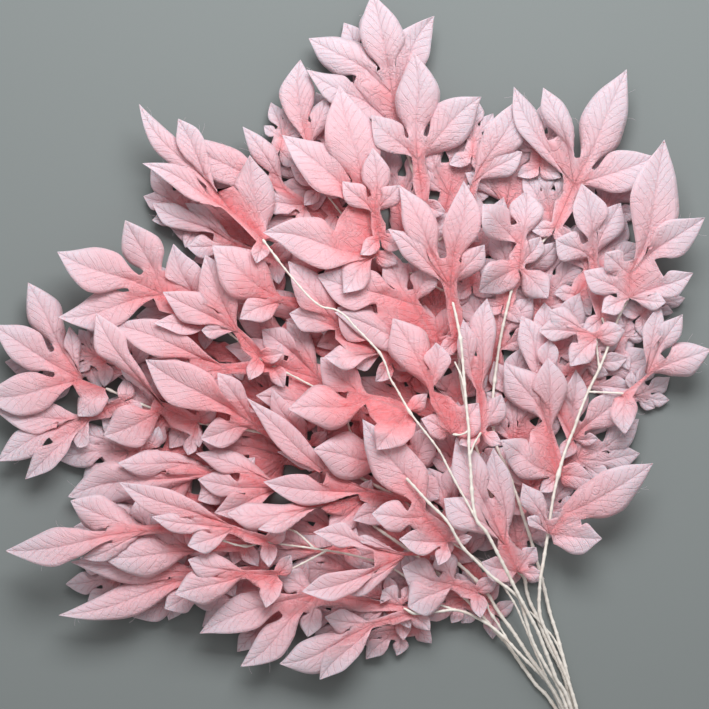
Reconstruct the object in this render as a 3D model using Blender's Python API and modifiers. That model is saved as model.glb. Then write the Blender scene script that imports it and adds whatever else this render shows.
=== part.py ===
"""A leafy willow branch, made by hand: pressed cloth leaves on eight coated wire stems, taped into one handle.

The branch lies flat, as laid on a table: +Z is up, the leaves fan out towards +Y and -X, and the handle points
to -Y. Every leaf is one cut sheet of cloth with several pointed lobes and two small ears at its foot, and it is
tied to a wire stem by that foot. The leaves and the stems lie on one another, so each piece is settled in turn
on the ones below it, from the floor up. The plan positions are in millimetres from the middle of the leafy part,
and the finished branch is moved so that its origin is the middle of the bottom of its box.
"""

import math
from dataclasses import dataclass

import bmesh
import bpy
import numpy as np

MM = 0.001

# Cloth
CLOTH = 0.6  # thickness of a pressed leaf with its stiffening
LEAF_GAP = 3.0  # least air between a leaf and what it lies on
EAR_LENGTH = 25.0
EAR_HALF_WIDTH = 9.0
EAR_TURN = math.radians(118.0)
FOOT_HALF_WIDTH = 2.6  # of the narrow foot by which a leaf is tied
FOOT_TURN = math.radians(44.0)
FULLNESS = 1.18  # widening of every lobe over the half width listed
NECK = 0.52  # half width of a lobe where it leaves its neighbour, as a share of its widest
ROWS = (0.36, 0.70)  # where a lobe's cross rows lie, from its neck to its tip
EAR_ROWS = (0.5,)

# Wire stems
STEM_RADIUS = 1.9
STEM_END_RADIUS = 1.25
TWIG_RADIUS = 1.05
TWIG_END_RADIUS = 0.85
STEM_GAP = 0.35
STEM_STEP = 13.0  # distance between the points of a stem's centre line

# Taped handle
RING = 4.75  # radius of the ring of seven stems around the middle one
HANDLE_MOUTH = (235.0, -409.0)
HANDLE_END = (287.0, -541.0)
SLEEVE_INNER = 7.05
SLEEVE_WALL = 0.9
SLEEVE_INSET = 3.0  # the wires end this far inside the sleeve's lower end

CLOTH_COLOUR = (0.80, 0.42, 0.44)
COATING_COLOUR = (0.82, 0.74, 0.66)
TAPE_COLOUR = (0.80, 0.73, 0.64)

# Height map used to lay the pieces on one another
CELL = 2.0
MAP_MIN = (-420.0, -600.0)
MAP_SIZE = (420, 520)
SETTLE_TURNS = 90
SMOOTH_TURNS = 70
TAUT_TURNS = 400


@dataclass(frozen=True)
class Leaf:
    """One cut cloth leaf: where it is tied, where its lobes part, and the tip and half width of each lobe."""

    name: str
    foot: tuple
    hub: tuple
    lobes: tuple
    ears: str = "LR"
    hub_turn: float = 62.0  # a lobe turned further than this, in degrees, leaves the foot and not the hub
    rise: float = 0.36  # slope at the foot
    cup: float = 0.10  # how far the edges lift, as a share of the half width


@dataclass(frozen=True)
class Stem:
    """One wire: its slot in the handle, its route, and the twigs that leave it."""

    name: str
    slot: tuple
    route: tuple
    twigs: tuple = ()


def slot_on_ring(step):
    """A place in the handle, in step sevenths of a turn from the lowest one."""
    turn = math.radians(-90.0) + step * 2.0 * math.pi / 7.0
    return (RING * math.cos(turn), RING * math.sin(turn))


# The pile, from the floor up.
PILE = (
    Stem("stem_1", slot_on_ring(0),
         ((212, -327), (195, -292), (183, -262), (175, -245), (171, -225), (162, -212), (153, -185), (135, -135),
          (117, -75), (107, -25), (103, 15), (93, 65), (81, 110), (69, 149), (57, 190), (46, 224)),
         (((93, 65), (60, 80), (24, 97), (-8, 135), (-31, 165)), ((81, 110), (107, 130)), ((105, -5), (84, 8)))),
    Leaf("leaf_1", (-17, -47), (-35, -25), ((-93, 25, 21), (-130, 8, 16), (-68, 33, 13), (-99, -41, 14))),
    Leaf("leaf_2", (-8, -195), (-30, -198), ((-101, -201, 17), (-86, -176, 9))),
    Leaf("leaf_3", (47, -251), (-37, -240),
         ((-155, -279, 15), (-114, -312, 14), (-47, -283, 12), (-76, -221, 12), (28, -235, 13)), hub_turn=100.0),
    Leaf("leaf_4", (59, -258), (20, -268), ((-35, -325, 13), (-75, -309, 18), (-30, -262, 11))),
    Leaf("leaf_5", (-115, -123), (-140, -119), ((-288, -143, 24), (-236, -108, 15), (-157, -146, 14))),
    Leaf("leaf_6", (-93, -217), (-142, -218), ((-282, -206, 13), (-295, -260, 12), (-190, -254, 17))),
    Leaf("leaf_7", (-110, -191), (-155, -196), ((-252, -200, 16), (-205, -160, 13))),
    Leaf("leaf_8", (-167, -173), (-205, -174), ((-347, -195, 17), (-282, -145, 18), (-271, -202, 9))),
    Stem("stem_2", slot_on_ring(-1),
         ((197, -348), (187, -338), (175, -322), (163, -305), (154, -292), (143, -280), (131, -266), (119, -253),
          (104, -238), (82, -218), (57, -198), (45, -190), (25, -176), (7, -162), (-20, -146), (-50, -137),
          (-85, -127), (-115, -123))),
    Stem("stem_3", slot_on_ring(1),
         ((218, -338), (213, -316), (208, -297), (203, -278), (198, -264), (193, -243), (188, -223), (181, -199),
          (177, -185), (170, -165), (164, -146), (158, -130), (154, -116), (148, -106), (144, -95), (140, -81),
          (139, -45), (145, 5), (153, 45), (165, 87), (183, 107), (201, 127)),
         (((211, -305), (203, -290), (196, -280), (187, -270), (177, -259)),)),
    Stem("stem_4", slot_on_ring(-2),
         ((200, -339), (187, -322), (177, -312), (167, -302), (153, -287), (136, -272), (124, -265), (114, -260),
          (104.6, -256), (85, -257), (57, -258), (49, -253)),
         (((104.6, -256), (95, -253), (81, -249), (65, -235), (40, -215), (0, -201), (-45, -193), (-75, -189),
           (-87, -186), (-110, -191), (-140, -182), (-167, -173)),
          ((153, -287), (145, -272), (138, -262), (133, -253), (130, -245), (123, -239)),
          ((-45, -193), (-57, -178), (-70, -173)),
          ((-25, -197), (-55, -210), (-77, -220)))),
    Leaf("leaf_9", (-77, -220), (-105, -217), ((-178, -237, 17), (-165, -203, 14), (-88, -252, 7)), ears="R"),
    Leaf("leaf_10", (-50, -137), (-75, -133), ((-157, -125, 16), (-159, -99, 11), (-140, -158, 13))),
    Leaf("leaf_11", (-87, -186), (-120, -172), ((-233, -126, 13, -0.03), (-165, -189, 13), (-200, -160, 10))),
    Stem("stem_5", (0.0, 0.0),
         ((203, -343), (188, -320), (176, -304), (165, -287), (154, -271), (146, -261), (140, -251), (132, -238),
          (115, -220), (100, -207), (85, -199), (70, -175), (52, -150), (5, -123), (-47, -93), (-100, -77),
          (-157, -68), (-205, -53), (-249, -34)),
         (((201, -338), (193, -325), (186, -309), (178, -290), (172, -275), (167, -264), (162, -252), (153, -238),
           (140, -220), (115, -200), (92, -186)),
          ((5, -123), (-5, -75), (-17, -47), (-55, -25), (-93, -5), (-120, 17), (-145, 35)))),
    Leaf("leaf_12", (-230, -47), (-265, -62), ((-358, -107, 16), (-330, -125, 12), (-277, -94, 13), (-366, -52, 13))),
    Leaf("leaf_13", (-249, -34), (-273, -25),
         ((-327, 72, 18), (-362, 30, 16), (-373, -41, 17), (-285, 28, 9), (-277, -62, 11)), ears=""),
    Leaf("leaf_14", (-83, -12), (-125, -15), ((-242, 30, 16), (-157, -33, 14), (-205, -12, 13))),
    Leaf("leaf_15", (-79, 95), (-118, 110), ((-203, 152, 16), (-170, 152, 9), (-168, 108, 13))),
    Leaf("leaf_16", (-50, 150), (-70, 165), ((-195, 213, 13, -0.10), (-112, 228, 9), (-90, 152, 16))),
    Leaf("leaf_17", (-145, 35), (-190, 60),
         ((-295, 102, 19), (-227, 133, 17), (-180, 110, 15), (-295, 37, 15), (-199, 31, 7)), ears="R"),
    Leaf("leaf_18", (-95, -3), (-115, 22), ((-148, 99, 16), (-152, 24, 11), (-190, 62, 14))),
    Leaf("leaf_19", (-157, -68), (-190, -53), ((-256, 41, 18), (-251, -81, 17), (-167, -101, 10), (-234, -10, 12))),
    Leaf("leaf_20", (7, -148), (-25, -150), ((-127, -158, 18), (-26, -177, 12), (-95, -172, 10))),
    Leaf("leaf_21", (-47, -93), (-100, -70), ((-207, -5, 21), (-154, -84, 13), (-136, -18, 12), (-82, -34, 9))),
    Leaf("leaf_22", (50, -148), (15, -137), ((-91, -127, 14), (-77, -97, 10), (-107, -43, 11, 0.06), (-2, -166, 11))),
    Leaf("leaf_23", (123, -239), (100, -230), ((53, -252, 22), (47, -212, 18), (86, -196, 12))),
    Leaf("leaf_24", (85, -200), (50, -200), ((-9, -237, 17), (-52, -234, 17), (-41, -176, 13), (3, -181, 11)), ears="R"),
    Leaf("leaf_25", (51, -123), (40, -108), ((-41, -94, 19), (21, -83, 13), (49, -57, 13), (78, -71, 13), (85, -145, 12)),
         ears=""),
    Leaf("leaf_26", (92, -186), (70, -160), ((8, -64, 16, -0.05), (17, -157, 14), (44, -183, 10), (112, -165, 10))),
    Leaf("leaf_27", (54, -56), (17, -43), ((-66, -54, 17), (-34, -3, 17), (22, -94, 13)), ears="R"),
    Leaf("leaf_28", (-35, 44), (-70, 55), ((-141, 108, 18), (-114, 35, 11))),
    Leaf("leaf_29", (28, 2), (-10, 23), ((-65, 41, 15), (-66, 93, 14), (2, -14, 10), (-30, -2, 12)), ears="R"),
    Leaf("leaf_30", (37, -8), (28, 15), ((-17, 47, 17), (40, 39, 15))),
    Leaf("leaf_31", (-33, 167), (-45, 205), ((-54, 295, 16, 0.04), (-28, 257, 12), (-65, 195, 9))),
    Leaf("leaf_32", (45, 227), (39, 261), ((-46, 317, 19), (18, 361, 18, 0.08), (80, 339, 14), (-48, 284, 13))),
    Leaf("leaf_33", (82, 10), (60, 50), ((-38, 79, 19, -0.05), (75, 87, 13), (-20, 42, 12), (30, 100, 12))),
    Leaf("leaf_34", (-91, 114), (-123, 143), ((-104, 198, 16), (-175, 234, 19), (-214, 249, 11, 0.02), (-211, 190, 9))),
    Leaf("leaf_35", (164, -218), (150, -190),
         ((88, -142, 18), (101, -82, 19), (138, -93, 14), (182, -193, 10), (127, -207, 10)), ears="R"),
    Leaf("leaf_36", (20, 99), (13, 140), ((-91, 121, 17), (-72, 218, 16), (-15, 268, 20), (-11, 61, 12)), ears="R"),
    Leaf("leaf_37", (69, 151), (63, 195), ((59, 301, 18), (127, 258, 17), (17, 238, 13))),
    Leaf("leaf_38", (107, 130), (118, 172), ((163, 255, 16), (168, 203, 14))),
    Leaf("leaf_39", (25, 115), (20, 140), ((18, 205, 12), (44, 168, 10), (-12, 172, 10))),
    Leaf("leaf_40", (103, 15), (95, 67), ((33, 124, 11), (44, 168, 14), (108, 172, 15), (129, 109, 12))),
    Leaf("leaf_41", (201, 127), (220, 170), ((159, 267, 14), (188, 266, 17), (272, 285, 17), (300, 198, 16))),
    Leaf("leaf_42", (248, 37), (240, 95), ((201, 115, 16), (227, 171, 15), (267, 152, 15))),
    Leaf("leaf_43", (165, 87), (167, 110), ((172, 164, 17), (127, 149, 16), (124, 62, 12), (194, 56, 12), (186, 118, 11)),
         ears=""),
    Leaf("leaf_44", (125, -77), (125, -40), ((132, 56, 15), (147, -40, 11), (108, 35, 10))),
    Leaf("leaf_45", (97, -79), (77, -40), ((38, 36, 20), (66, -64, 8), (81, 12, 14), (123, -48, 11)), ears=""),
    Leaf("leaf_46", (220, -85), (195, -40), ((167, 39, 17), (195, 15, 15), (271, -38, 15), (222, -15, 11))),
    Leaf("leaf_47", (205, -122), (197, -80), ((145, -85, 14), (150, -8, 17), (193, -3, 17), (240, -126, 9)), ears="L"),
    Leaf("leaf_48", (269, -39), (292, -20), ((355, 5, 15), (327, 40, 12), (270, -80, 9), (305, 50, 10)), ears=""),
    Stem("stem_6", slot_on_ring(2),
         ((217, -335), (202, -300), (190, -273), (185, -255), (186, -225), (188, -213), (193, -183), (200, -138),
          (210, -100), (221, -72), (225, -60), (235, -35), (245, -15), (255, 10), (265, 38), (275, 57)),
         (((245, -15), (243, 4), (242, 17)), ((235, -35), (252, -38), (269, -39)), ((255, 10), (252, 24), (248, 37)))),
    Leaf("leaf_49", (242, 17), (233, 22), ((194, 44, 13), (184, 24, 13), (270, 24, 9), (215, -12, 10)), ears=""),
    Leaf("leaf_50", (275, 57), (275, 80),
         ((307, 213, 19, -0.08), (348, 136, 15), (337, 81, 12), (249, 101, 12), (228, 83, 13), (310, 52, 10), (246, 42, 9)),
         ears=""),
    Leaf("leaf_51", (195, -179), (208, -160), ((297, -108, 15), (246, -183, 13), (167, -128, 11), (172, -162, 9)),
         ears=""),
    Stem("stem_7", slot_on_ring(-3),
         ((206, -337), (192, -313), (178, -287), (170, -262), (164, -243), (157, -236), (148, -229), (137, -221),
          (125, -209), (116, -200), (105, -188), (91, -164), (73, -146), (55, -126), (51, -122))),
    Stem("stem_8", slot_on_ring(3),
         ((211, -339), (203, -327), (195, -307), (187, -287), (181, -272), (175, -262), (170, -252), (163, -239),
          (156, -225), (148.5, -210), (135, -184), (128, -172), (120, -162), (116, -136), (115, -116), (113, -92),
          (113, -75), (110, -45), (106, 5), (103, 25), (100, 40), (97, 52)),
         (((120, -162), (110, -144), (102, -130), (91, -109), (83, -94), (70, -77), (54, -56), (44, -38), (35, -23),
           (26, 0), (-2, 30), (-15, 43), (-37, 50), (-65, 80), (-91, 114)),
          ((110, -35), (105, -20), (99, -7)),
          ((113, -80), (103, -80), (97, -79)),
          ((114, -95), (120, -84), (125, -77)))),
)


def unit(vector):
    """The vector at length one."""
    vector = np.asarray(vector, float)
    return vector / max(np.linalg.norm(vector), 1e-9)


def turned(vector, angle):
    """The plan vector turned by an angle, in radians, to its left."""
    c, s = math.cos(angle), math.sin(angle)
    return np.array((c * vector[0] - s * vector[1], s * vector[0] + c * vector[1]))


def turn_between(start, end):
    """The signed angle from one plan vector to another, positive to the left."""
    return math.atan2(start[0] * end[1] - start[1] * end[0], start[0] * end[0] + start[1] * end[1])


class Lobe:
    """One lobe of a leaf: a curved midrib from its root to its tip, and a width that swells and narrows."""

    def __init__(self, root, on_hub, tip, half_width, bend=0.0, rows=ROWS, round_tip=False):
        self.root = np.array(root, float)
        self.on_hub = on_hub
        self.tip = np.array(tip, float)
        self.half_width = FULLNESS * half_width
        self.rows = rows
        self.round_tip = round_tip
        run = self.tip - self.root
        self.length = float(np.linalg.norm(run))
        self.control = (self.root + self.tip) / 2.0 + bend * np.array((-run[1], run[0]))

    def axis(self, t):
        """The point of the midrib at share t of the lobe."""
        return (1 - t) ** 2 * self.root + 2 * t * (1 - t) * self.control + t * t * self.tip

    def side(self, t):
        """The direction to the left of the midrib at share t."""
        run = unit(2 * (1 - t) * (self.control - self.root) + 2 * t * (self.tip - self.control))
        return np.array((-run[1], run[0]))

    def reach(self, t):
        """The half width at share t."""
        if self.round_tip:
            return self.half_width * math.sqrt(max(1.0 - ((t - 0.55) / 0.6) ** 2, 0.0))
        return self.half_width * max(1.0 - ((t - 0.52) / 0.52) ** 2, 0.0) ** 0.6


def lobes_of(leaf):
    """The lobes of a leaf from its left side round to its right, with their ears."""
    foot, hub = np.array(leaf.foot, float), np.array(leaf.hub, float)
    heading = hub - foot
    found = []
    for entry in leaf.lobes:
        tip, half_width = np.array(entry[:2], float), entry[2]
        bend = entry[3] if len(entry) > 3 else 0.0
        on_hub = abs(turn_between(heading, tip - hub)) < math.radians(leaf.hub_turn)
        root = hub if on_hub else foot
        found.append(Lobe(root, on_hub, tip, half_width, bend))
    for letter, sign in (("L", 1.0), ("R", -1.0)):
        if letter in leaf.ears:
            tip = foot + EAR_LENGTH * turned(unit(heading), sign * EAR_TURN)
            found.append(Lobe(foot, False, tip, EAR_HALF_WIDTH, 0.0, EAR_ROWS, True))

    def place_round(lobe):
        """Where a lobe stands round the leaf: those on the foot stand outside those on the hub."""
        turn = turn_between(heading, lobe.tip - lobe.root)
        return -turn if lobe.on_hub else -turn - math.copysign(math.pi, turn)

    return sorted(found, key=place_round)


def notch(first, second):
    """The point where two neighbouring lobes part."""
    angle = abs(turn_between(first.tip - first.root, second.tip - second.root)) / 2.0
    neck = NECK * (first.half_width + second.half_width) / 2.0
    away = neck / max(math.sin(min(angle, math.pi / 2)), 0.12)
    away = min(max(away, 7.0), 0.5 * min(first.length, second.length))
    return (first.axis(away / first.length) + second.axis(away / second.length)) / 2.0


def share_along(lobe, point):
    """The share of a lobe's length at which a point lies beside its midrib."""
    run = lobe.tip - lobe.root
    return float(np.clip(np.dot(point - lobe.root, run) / np.dot(run, run), 0.02, 0.6))


def nearest_axis(lobe, point):
    """How far a point lies from a lobe's midrib."""
    return min(np.linalg.norm(lobe.axis(t) - point) for t in np.linspace(0.0, 1.0, 15))


class LeafCage:
    """The plan of a leaf as a coarse net: its points, its faces, and where each point lies on its lobe."""

    def __init__(self, leaf):
        self.points = []
        self.across = []  # -1 on a left edge, 0 on a midrib, 1 on a right edge
        self.run = []  # distance from the foot, along the midribs
        self.reaches = []  # half width there
        self.faces = []
        self.lobe_of = []
        foot, hub = np.array(leaf.foot, float), np.array(leaf.hub, float)
        self.spine = float(np.linalg.norm(hub - foot))
        lobes = lobes_of(leaf)
        self.lobes = lobes
        self.feet = (self.add(foot, 0.0, 0.0, 1.0, -1), self.add(hub, 0.0, self.spine, 8.0, -1))
        outer = []
        for lobe, sign in ((lobes[0], 1.0), (lobes[-1], -1.0)):
            start = lobe.root + FOOT_HALF_WIDTH * turned(unit(lobe.tip - lobe.root), sign * FOOT_TURN)
            outer.append(self.add(start, -sign, 0.0, 3.0, -1))
        notches = [outer[0]]
        for first, second in zip(lobes, lobes[1:]):
            place = notch(first, second)
            run = min(np.linalg.norm(place - foot), self.spine + np.linalg.norm(place - hub))
            notches.append(self.add(place, 1.0, run, NECK * first.half_width, -1))
        notches.append(outer[1])
        for index, lobe in enumerate(lobes):
            self.lay_lobe(index, notches[index], notches[index + 1])
            if index + 1 < len(lobes) and lobe.on_hub != lobes[index + 1].on_hub:
                here, there = self.feet[lobe.on_hub], self.feet[lobes[index + 1].on_hub]
                self.faces.append((here, there, notches[index + 1]))

    def add(self, place, across, run, reach, lobe):
        """Adds a point and gives its number."""
        self.points.append(np.array(place, float))
        self.across.append(across)
        self.run.append(run)
        self.reaches.append(reach)
        self.lobe_of.append(lobe)
        return len(self.points) - 1

    def half_width(self, index, t, place):
        """The half width of a lobe at share t, kept clear of the lobes beside it."""
        lobe = self.lobes[index]
        reach = lobe.reach(t)
        for other in (index - 1, index + 1):
            if 0 <= other < len(self.lobes):
                reach = min(reach, max(0.5 * nearest_axis(self.lobes[other], place) - 0.5, 1.5))
        return reach

    def lay_lobe(self, index, left_start, right_start):
        """Lays one lobe's cross rows and its tip, and the faces between them."""
        lobe = self.lobes[index]
        root = self.feet[lobe.on_hub]
        before = self.spine if lobe.on_hub else 0.0
        shares = [share_along(lobe, self.points[start]) for start in (left_start, right_start)]
        left, middle, right = left_start, root, right_start
        for row in lobe.rows:
            places = [share + (1.0 - share) * row for share in shares]
            t = sum(places) / 2.0
            next_middle = self.add(lobe.axis(t), 0.0, before + t * lobe.length, lobe.reach(t), index)
            reach = self.half_width(index, places[0], lobe.axis(places[0]))
            next_left = self.add(lobe.axis(places[0]) + reach * lobe.side(places[0]), -1.0,
                                 before + places[0] * lobe.length, reach, index)
            reach = self.half_width(index, places[1], lobe.axis(places[1]))
            next_right = self.add(lobe.axis(places[1]) - reach * lobe.side(places[1]), 1.0,
                                  before + places[1] * lobe.length, reach, index)
            self.faces.append((middle, next_middle, next_left, left))
            self.faces.append((middle, right, next_right, next_middle))
            left, middle, right = next_left, next_middle, next_right
        tip = self.add(lobe.tip, 0.0, before + lobe.length, 0.5, index)
        self.faces.append((middle, tip, left))
        self.faces.append((middle, right, tip))


class HeightMap:
    """The height of the pile so far, on a square grid seen from above."""

    def __init__(self):
        self.height = np.zeros(MAP_SIZE)

    def cells(self, places):
        """The grid cells under plan places."""
        cells = np.floor((np.asarray(places) - np.array(MAP_MIN)) / CELL).astype(int)
        return np.clip(cells, 0, np.array(MAP_SIZE) - 1)

    def spread(self, reach):
        """The height map with each cell raised to the highest one within reach cells."""
        padded = np.pad(self.height, reach, mode="edge")
        rows, columns = self.height.shape
        highest = self.height.copy()
        for i in range(2 * reach + 1):
            for j in range(2 * reach + 1):
                if (i - reach) ** 2 + (j - reach) ** 2 <= reach * reach + 1:
                    highest = np.maximum(highest, padded[i:i + rows, j:j + columns])
        return highest

    def raise_to(self, places, heights):
        """Raises the cells under places to heights."""
        cells = self.cells(places)
        np.maximum.at(self.height, (cells[:, 0], cells[:, 1]), heights)


def lattice(size, step):
    """Barycentric places spread evenly over a triangle whose longest side is size."""
    count = max(2, int(math.ceil(size / step)))
    return [(i / count, j / count, 1.0 - (i + j) / count) for i in range(count + 1) for j in range(count + 1 - i)]


class Net:
    """The triangles of a leaf cage, with sample places on them and the neighbours of each point."""

    def __init__(self, cage, step):
        self.plan = np.array(cage.points)
        triangles = []
        for face in cage.faces:
            triangles += [(face[0], face[k], face[k + 1]) for k in range(1, len(face) - 1)]
        corners, weights = [], []
        for triangle in triangles:
            sides = [np.linalg.norm(self.plan[triangle[k]] - self.plan[triangle[k - 1]]) for k in range(3)]
            for weight in lattice(max(sides), step):
                corners.append(triangle)
                weights.append(weight)
        self.triangles = triangles
        self.corners, self.weights = np.array(corners), np.array(weights)
        self.samples = (self.plan[self.corners] * self.weights[:, :, None]).sum(1)
        self.touching = np.zeros((len(self.plan), len(self.plan)))
        for face in cage.faces:
            for start, end in zip(face, face[1:] + face[:1]):
                self.touching[start, end] = self.touching[end, start] = 1.0
        self.touching /= self.touching.sum(1, keepdims=True)

    def heights(self, z):
        """The heights of the samples for heights z of the points."""
        return (z[self.corners] * self.weights).sum(1)


def relaxed(cage, leaf, start):
    """The heights of a leaf's points when nothing but its foot holds it: it rises from the foot, then arches over."""
    across, run = np.array(cage.across), np.array(cage.run)
    reach = np.array(cage.reaches)
    longest = max(run)
    spine = leaf.rise * run * (1.0 - 0.62 * run / longest)
    sway = np.zeros(len(run))
    for index, lobe in enumerate(cage.lobes):
        mine = np.array(cage.lobe_of) == index
        wave = math.sin(1.7 * lobe.tip[0] + 2.3 * lobe.tip[1])
        sway[mine] = (0.05 * wave * (run[mine] - 20.0) + 0.16 * math.sin(3.1 * lobe.tip[0] + 1.3) * across[mine]
                      * reach[mine])
    return start + spine + leaf.cup * reach * np.abs(across) + sway


class Pile:
    """What has been laid so far: a height map of everything, one of the leaves alone, and the wires' centre lines."""

    def __init__(self):
        self.everything = HeightMap()
        self.leaves = HeightMap()
        self.wires = []


def settle_leaf(leaf, pile):
    """The net of a leaf and the heights of its points as it lies on the pile, which then holds the leaf too."""
    cage = LeafCage(leaf)
    net = Net(cage, 2.6)
    under = pile.everything.spread(1)
    cells = pile.everything.cells(net.samples)
    needed = under[cells[:, 0], cells[:, 1]] + LEAF_GAP + CLOTH / 2.0
    foot = pile.everything.cells(np.array([leaf.foot]))[0]
    rest = relaxed(cage, leaf, under[foot[0], foot[1]] + LEAF_GAP + CLOTH / 2.0)
    rest = np.maximum(rest, CLOTH / 2.0 + 0.5)
    lift = np.zeros(len(rest))
    strength = (net.weights ** 2).sum(1, keepdims=True)
    for turn in range(SETTLE_TURNS):
        if turn < SMOOTH_TURNS:
            lift = 0.985 * (0.4 * lift + 0.6 * net.touching @ lift)
        short = np.maximum(needed - net.heights(rest + lift), 0.0)
        push = (net.weights / strength) * short[:, None]
        step = np.zeros(len(rest))
        for corner in range(3):
            np.maximum.at(step, net.corners[:, corner], push[:, corner])
        lift = lift + step
    short = np.maximum(needed - net.heights(rest + lift), 0.0)
    extra = np.zeros(len(rest))
    for corner in range(3):
        np.maximum.at(extra, net.corners[:, corner], short * (net.weights[:, corner] > 0.0))
    z = rest + lift + extra
    fine = Net(cage, 1.2)
    for level in (pile.everything, pile.leaves):
        level.raise_to(fine.samples, fine.heights(z) + CLOTH / 2.0)
    return net, z


def smooth_line(points, step):
    """Points every step along a smooth curve through the given ones."""
    points = np.array(points, float)
    padded = np.vstack((2 * points[0] - points[1], points, 2 * points[-1] - points[-2]))
    dense = []
    for a, b, c, d in zip(padded, padded[1:], padded[2:], padded[3:]):
        for t in np.linspace(0.0, 1.0, 12, endpoint=False):
            dense.append(0.5 * (2 * b + (c - a) * t + (2 * a - 5 * b + 4 * c - d) * t ** 2
                                + (3 * b - a - 3 * c + d) * t ** 3))
    dense = np.array(dense + [points[-1]])
    along = np.concatenate(([0.0], np.cumsum(np.linalg.norm(np.diff(dense, axis=0), axis=1))))
    places = np.linspace(0.0, along[-1], max(3, int(round(along[-1] / step)) + 1))
    return np.stack([np.interp(places, along, dense[:, k]) for k in range(dense.shape[1])], axis=1)


def over_wire(place, radius, wire):
    """The least height of a wire's centre at a plan place, so that it passes over another wire there."""
    line, radii = wire
    start, run = line[:-1, :2], np.diff(line[:, :2], axis=0)
    share = np.clip(((place - start) * run).sum(1) / np.maximum((run ** 2).sum(1), 1e-9), 0.0, 1.0)
    away = np.linalg.norm(start + share[:, None] * run - place, axis=1)
    height = line[:-1, 2] + share * np.diff(line[:, 2])
    reach = radius + np.maximum(radii[:-1], radii[1:]) + STEM_GAP
    near = away < reach
    if not near.any():
        return -1.0
    return float((height[near] + np.sqrt(reach[near] ** 2 - away[near] ** 2)).max())


def settle_wire(plan, radii, pile, fixed, ends):
    """The centre line of a wire as it lies on the pile. The first points, fixed in number, keep the height ends."""
    leaves = pile.leaves.spread(2)
    cells = pile.leaves.cells(plan)
    floor = np.maximum(leaves[cells[:, 0], cells[:, 1]] + STEM_GAP + 0.4, 0.1) + radii
    for number in range(fixed, len(plan)):
        for wire in pile.wires:
            floor[number] = max(floor[number], over_wire(plan[number], radii[number], wire))
    z = floor.copy()
    z[:fixed] = ends
    for _ in range(TAUT_TURNS):
        z[fixed:-1] = np.maximum(floor[fixed:-1], 0.5 * (z[fixed - 1:-2] + z[fixed + 1:]))
        z[-1] = max(floor[-1], z[-2])
    return np.column_stack((plan, z))


def hold_wire(line, radii, pile):
    """Puts a settled wire on the pile."""
    pile.wires.append((line, radii))
    places, heights = [], []
    for start, end, radius in zip(line, line[1:], radii):
        side = unit((start[1] - end[1], end[0] - start[0]))
        for t in np.linspace(0.0, 1.0, 12):
            for off in np.linspace(-radius, radius, 5):
                centre = (1 - t) * start + t * end
                places.append(centre[:2] + off * side)
                heights.append(centre[2] + math.sqrt(max(radius ** 2 - off ** 2, 0.0)))
    pile.everything.raise_to(places, heights)


def settle_stem(stem, pile):
    """The settled wires of a stem: its main wire from the handle, then its twigs, each with its radii."""
    handle = np.array(HANDLE_END) - np.array(HANDLE_MOUTH)
    along = unit(handle)
    across = np.array((-along[1], along[0]))
    middle = SLEEVE_INNER + SLEEVE_WALL
    offset, height = stem.slot[0] * across, middle + stem.slot[1]
    inner = np.array(HANDLE_END) - SLEEVE_INSET * along + offset
    mouth = np.array(HANDLE_MOUTH) + offset
    lead = mouth - 18.0 * along
    free = smooth_line([mouth, lead] + [np.array(place, float) for place in stem.route], STEM_STEP)
    plan = np.vstack((inner, (inner + mouth) / 2.0, free))
    radii = np.linspace(STEM_RADIUS, STEM_END_RADIUS, len(plan))
    line = settle_wire(plan, radii, pile, 4, height)
    wires = [(line, radii)]
    for route in stem.twigs:
        start = np.array(route[0], float)
        trunk, place = min(((wire, k) for wire, _ in wires for k in range(len(wire))),
                           key=lambda found: np.linalg.norm(found[0][found[1], :2] - start))
        joint = trunk[place]
        plan = smooth_line([joint[:2]] + [np.array(point, float) for point in route[1:]], STEM_STEP)
        radii = np.linspace(TWIG_RADIUS, TWIG_END_RADIUS, len(plan))
        wires.append((settle_wire(plan, radii, pile, 1, joint[2]), radii))
    for line, radii in wires:
        hold_wire(line, radii, pile)
    return wires


def collection(name):
    """A new collection in the scene."""
    group = bpy.data.collections.new(name)
    bpy.context.scene.collection.children.link(group)
    return group


def finish(name, colour, roughness):
    """A plain finish with a Principled BSDF."""
    material = bpy.data.materials.new(name)
    material.use_nodes = True
    shader = material.node_tree.nodes["Principled BSDF"]
    shader.inputs["Base Color"].default_value = (*colour, 1.0)
    shader.inputs["Roughness"].default_value = roughness
    shader.inputs["Metallic"].default_value = 0.0
    return material


def cloth_object(leaf, net, z, group):
    """The solid of a leaf: its net at the settled heights, with the cloth's thickness."""
    shell = bmesh.new()
    points = [shell.verts.new((*place * MM, height * MM)) for place, height in zip(net.plan, z)]
    for triangle in net.triangles:
        shell.faces.new([points[corner] for corner in triangle])
    bmesh.ops.recalc_face_normals(shell, faces=shell.faces)
    mesh = bpy.data.meshes.new(leaf.name)
    shell.to_mesh(mesh)
    shell.free()
    leaf_object = bpy.data.objects.new(leaf.name, mesh)
    group.objects.link(leaf_object)
    wall = leaf_object.modifiers.new("cloth", "SOLIDIFY")
    wall.thickness = CLOTH * MM
    wall.offset = 0.0
    mesh.materials.append(finish(leaf.name + "_cloth", CLOTH_COLOUR, 0.85))
    mesh.shade_smooth()
    return leaf_object


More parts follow.
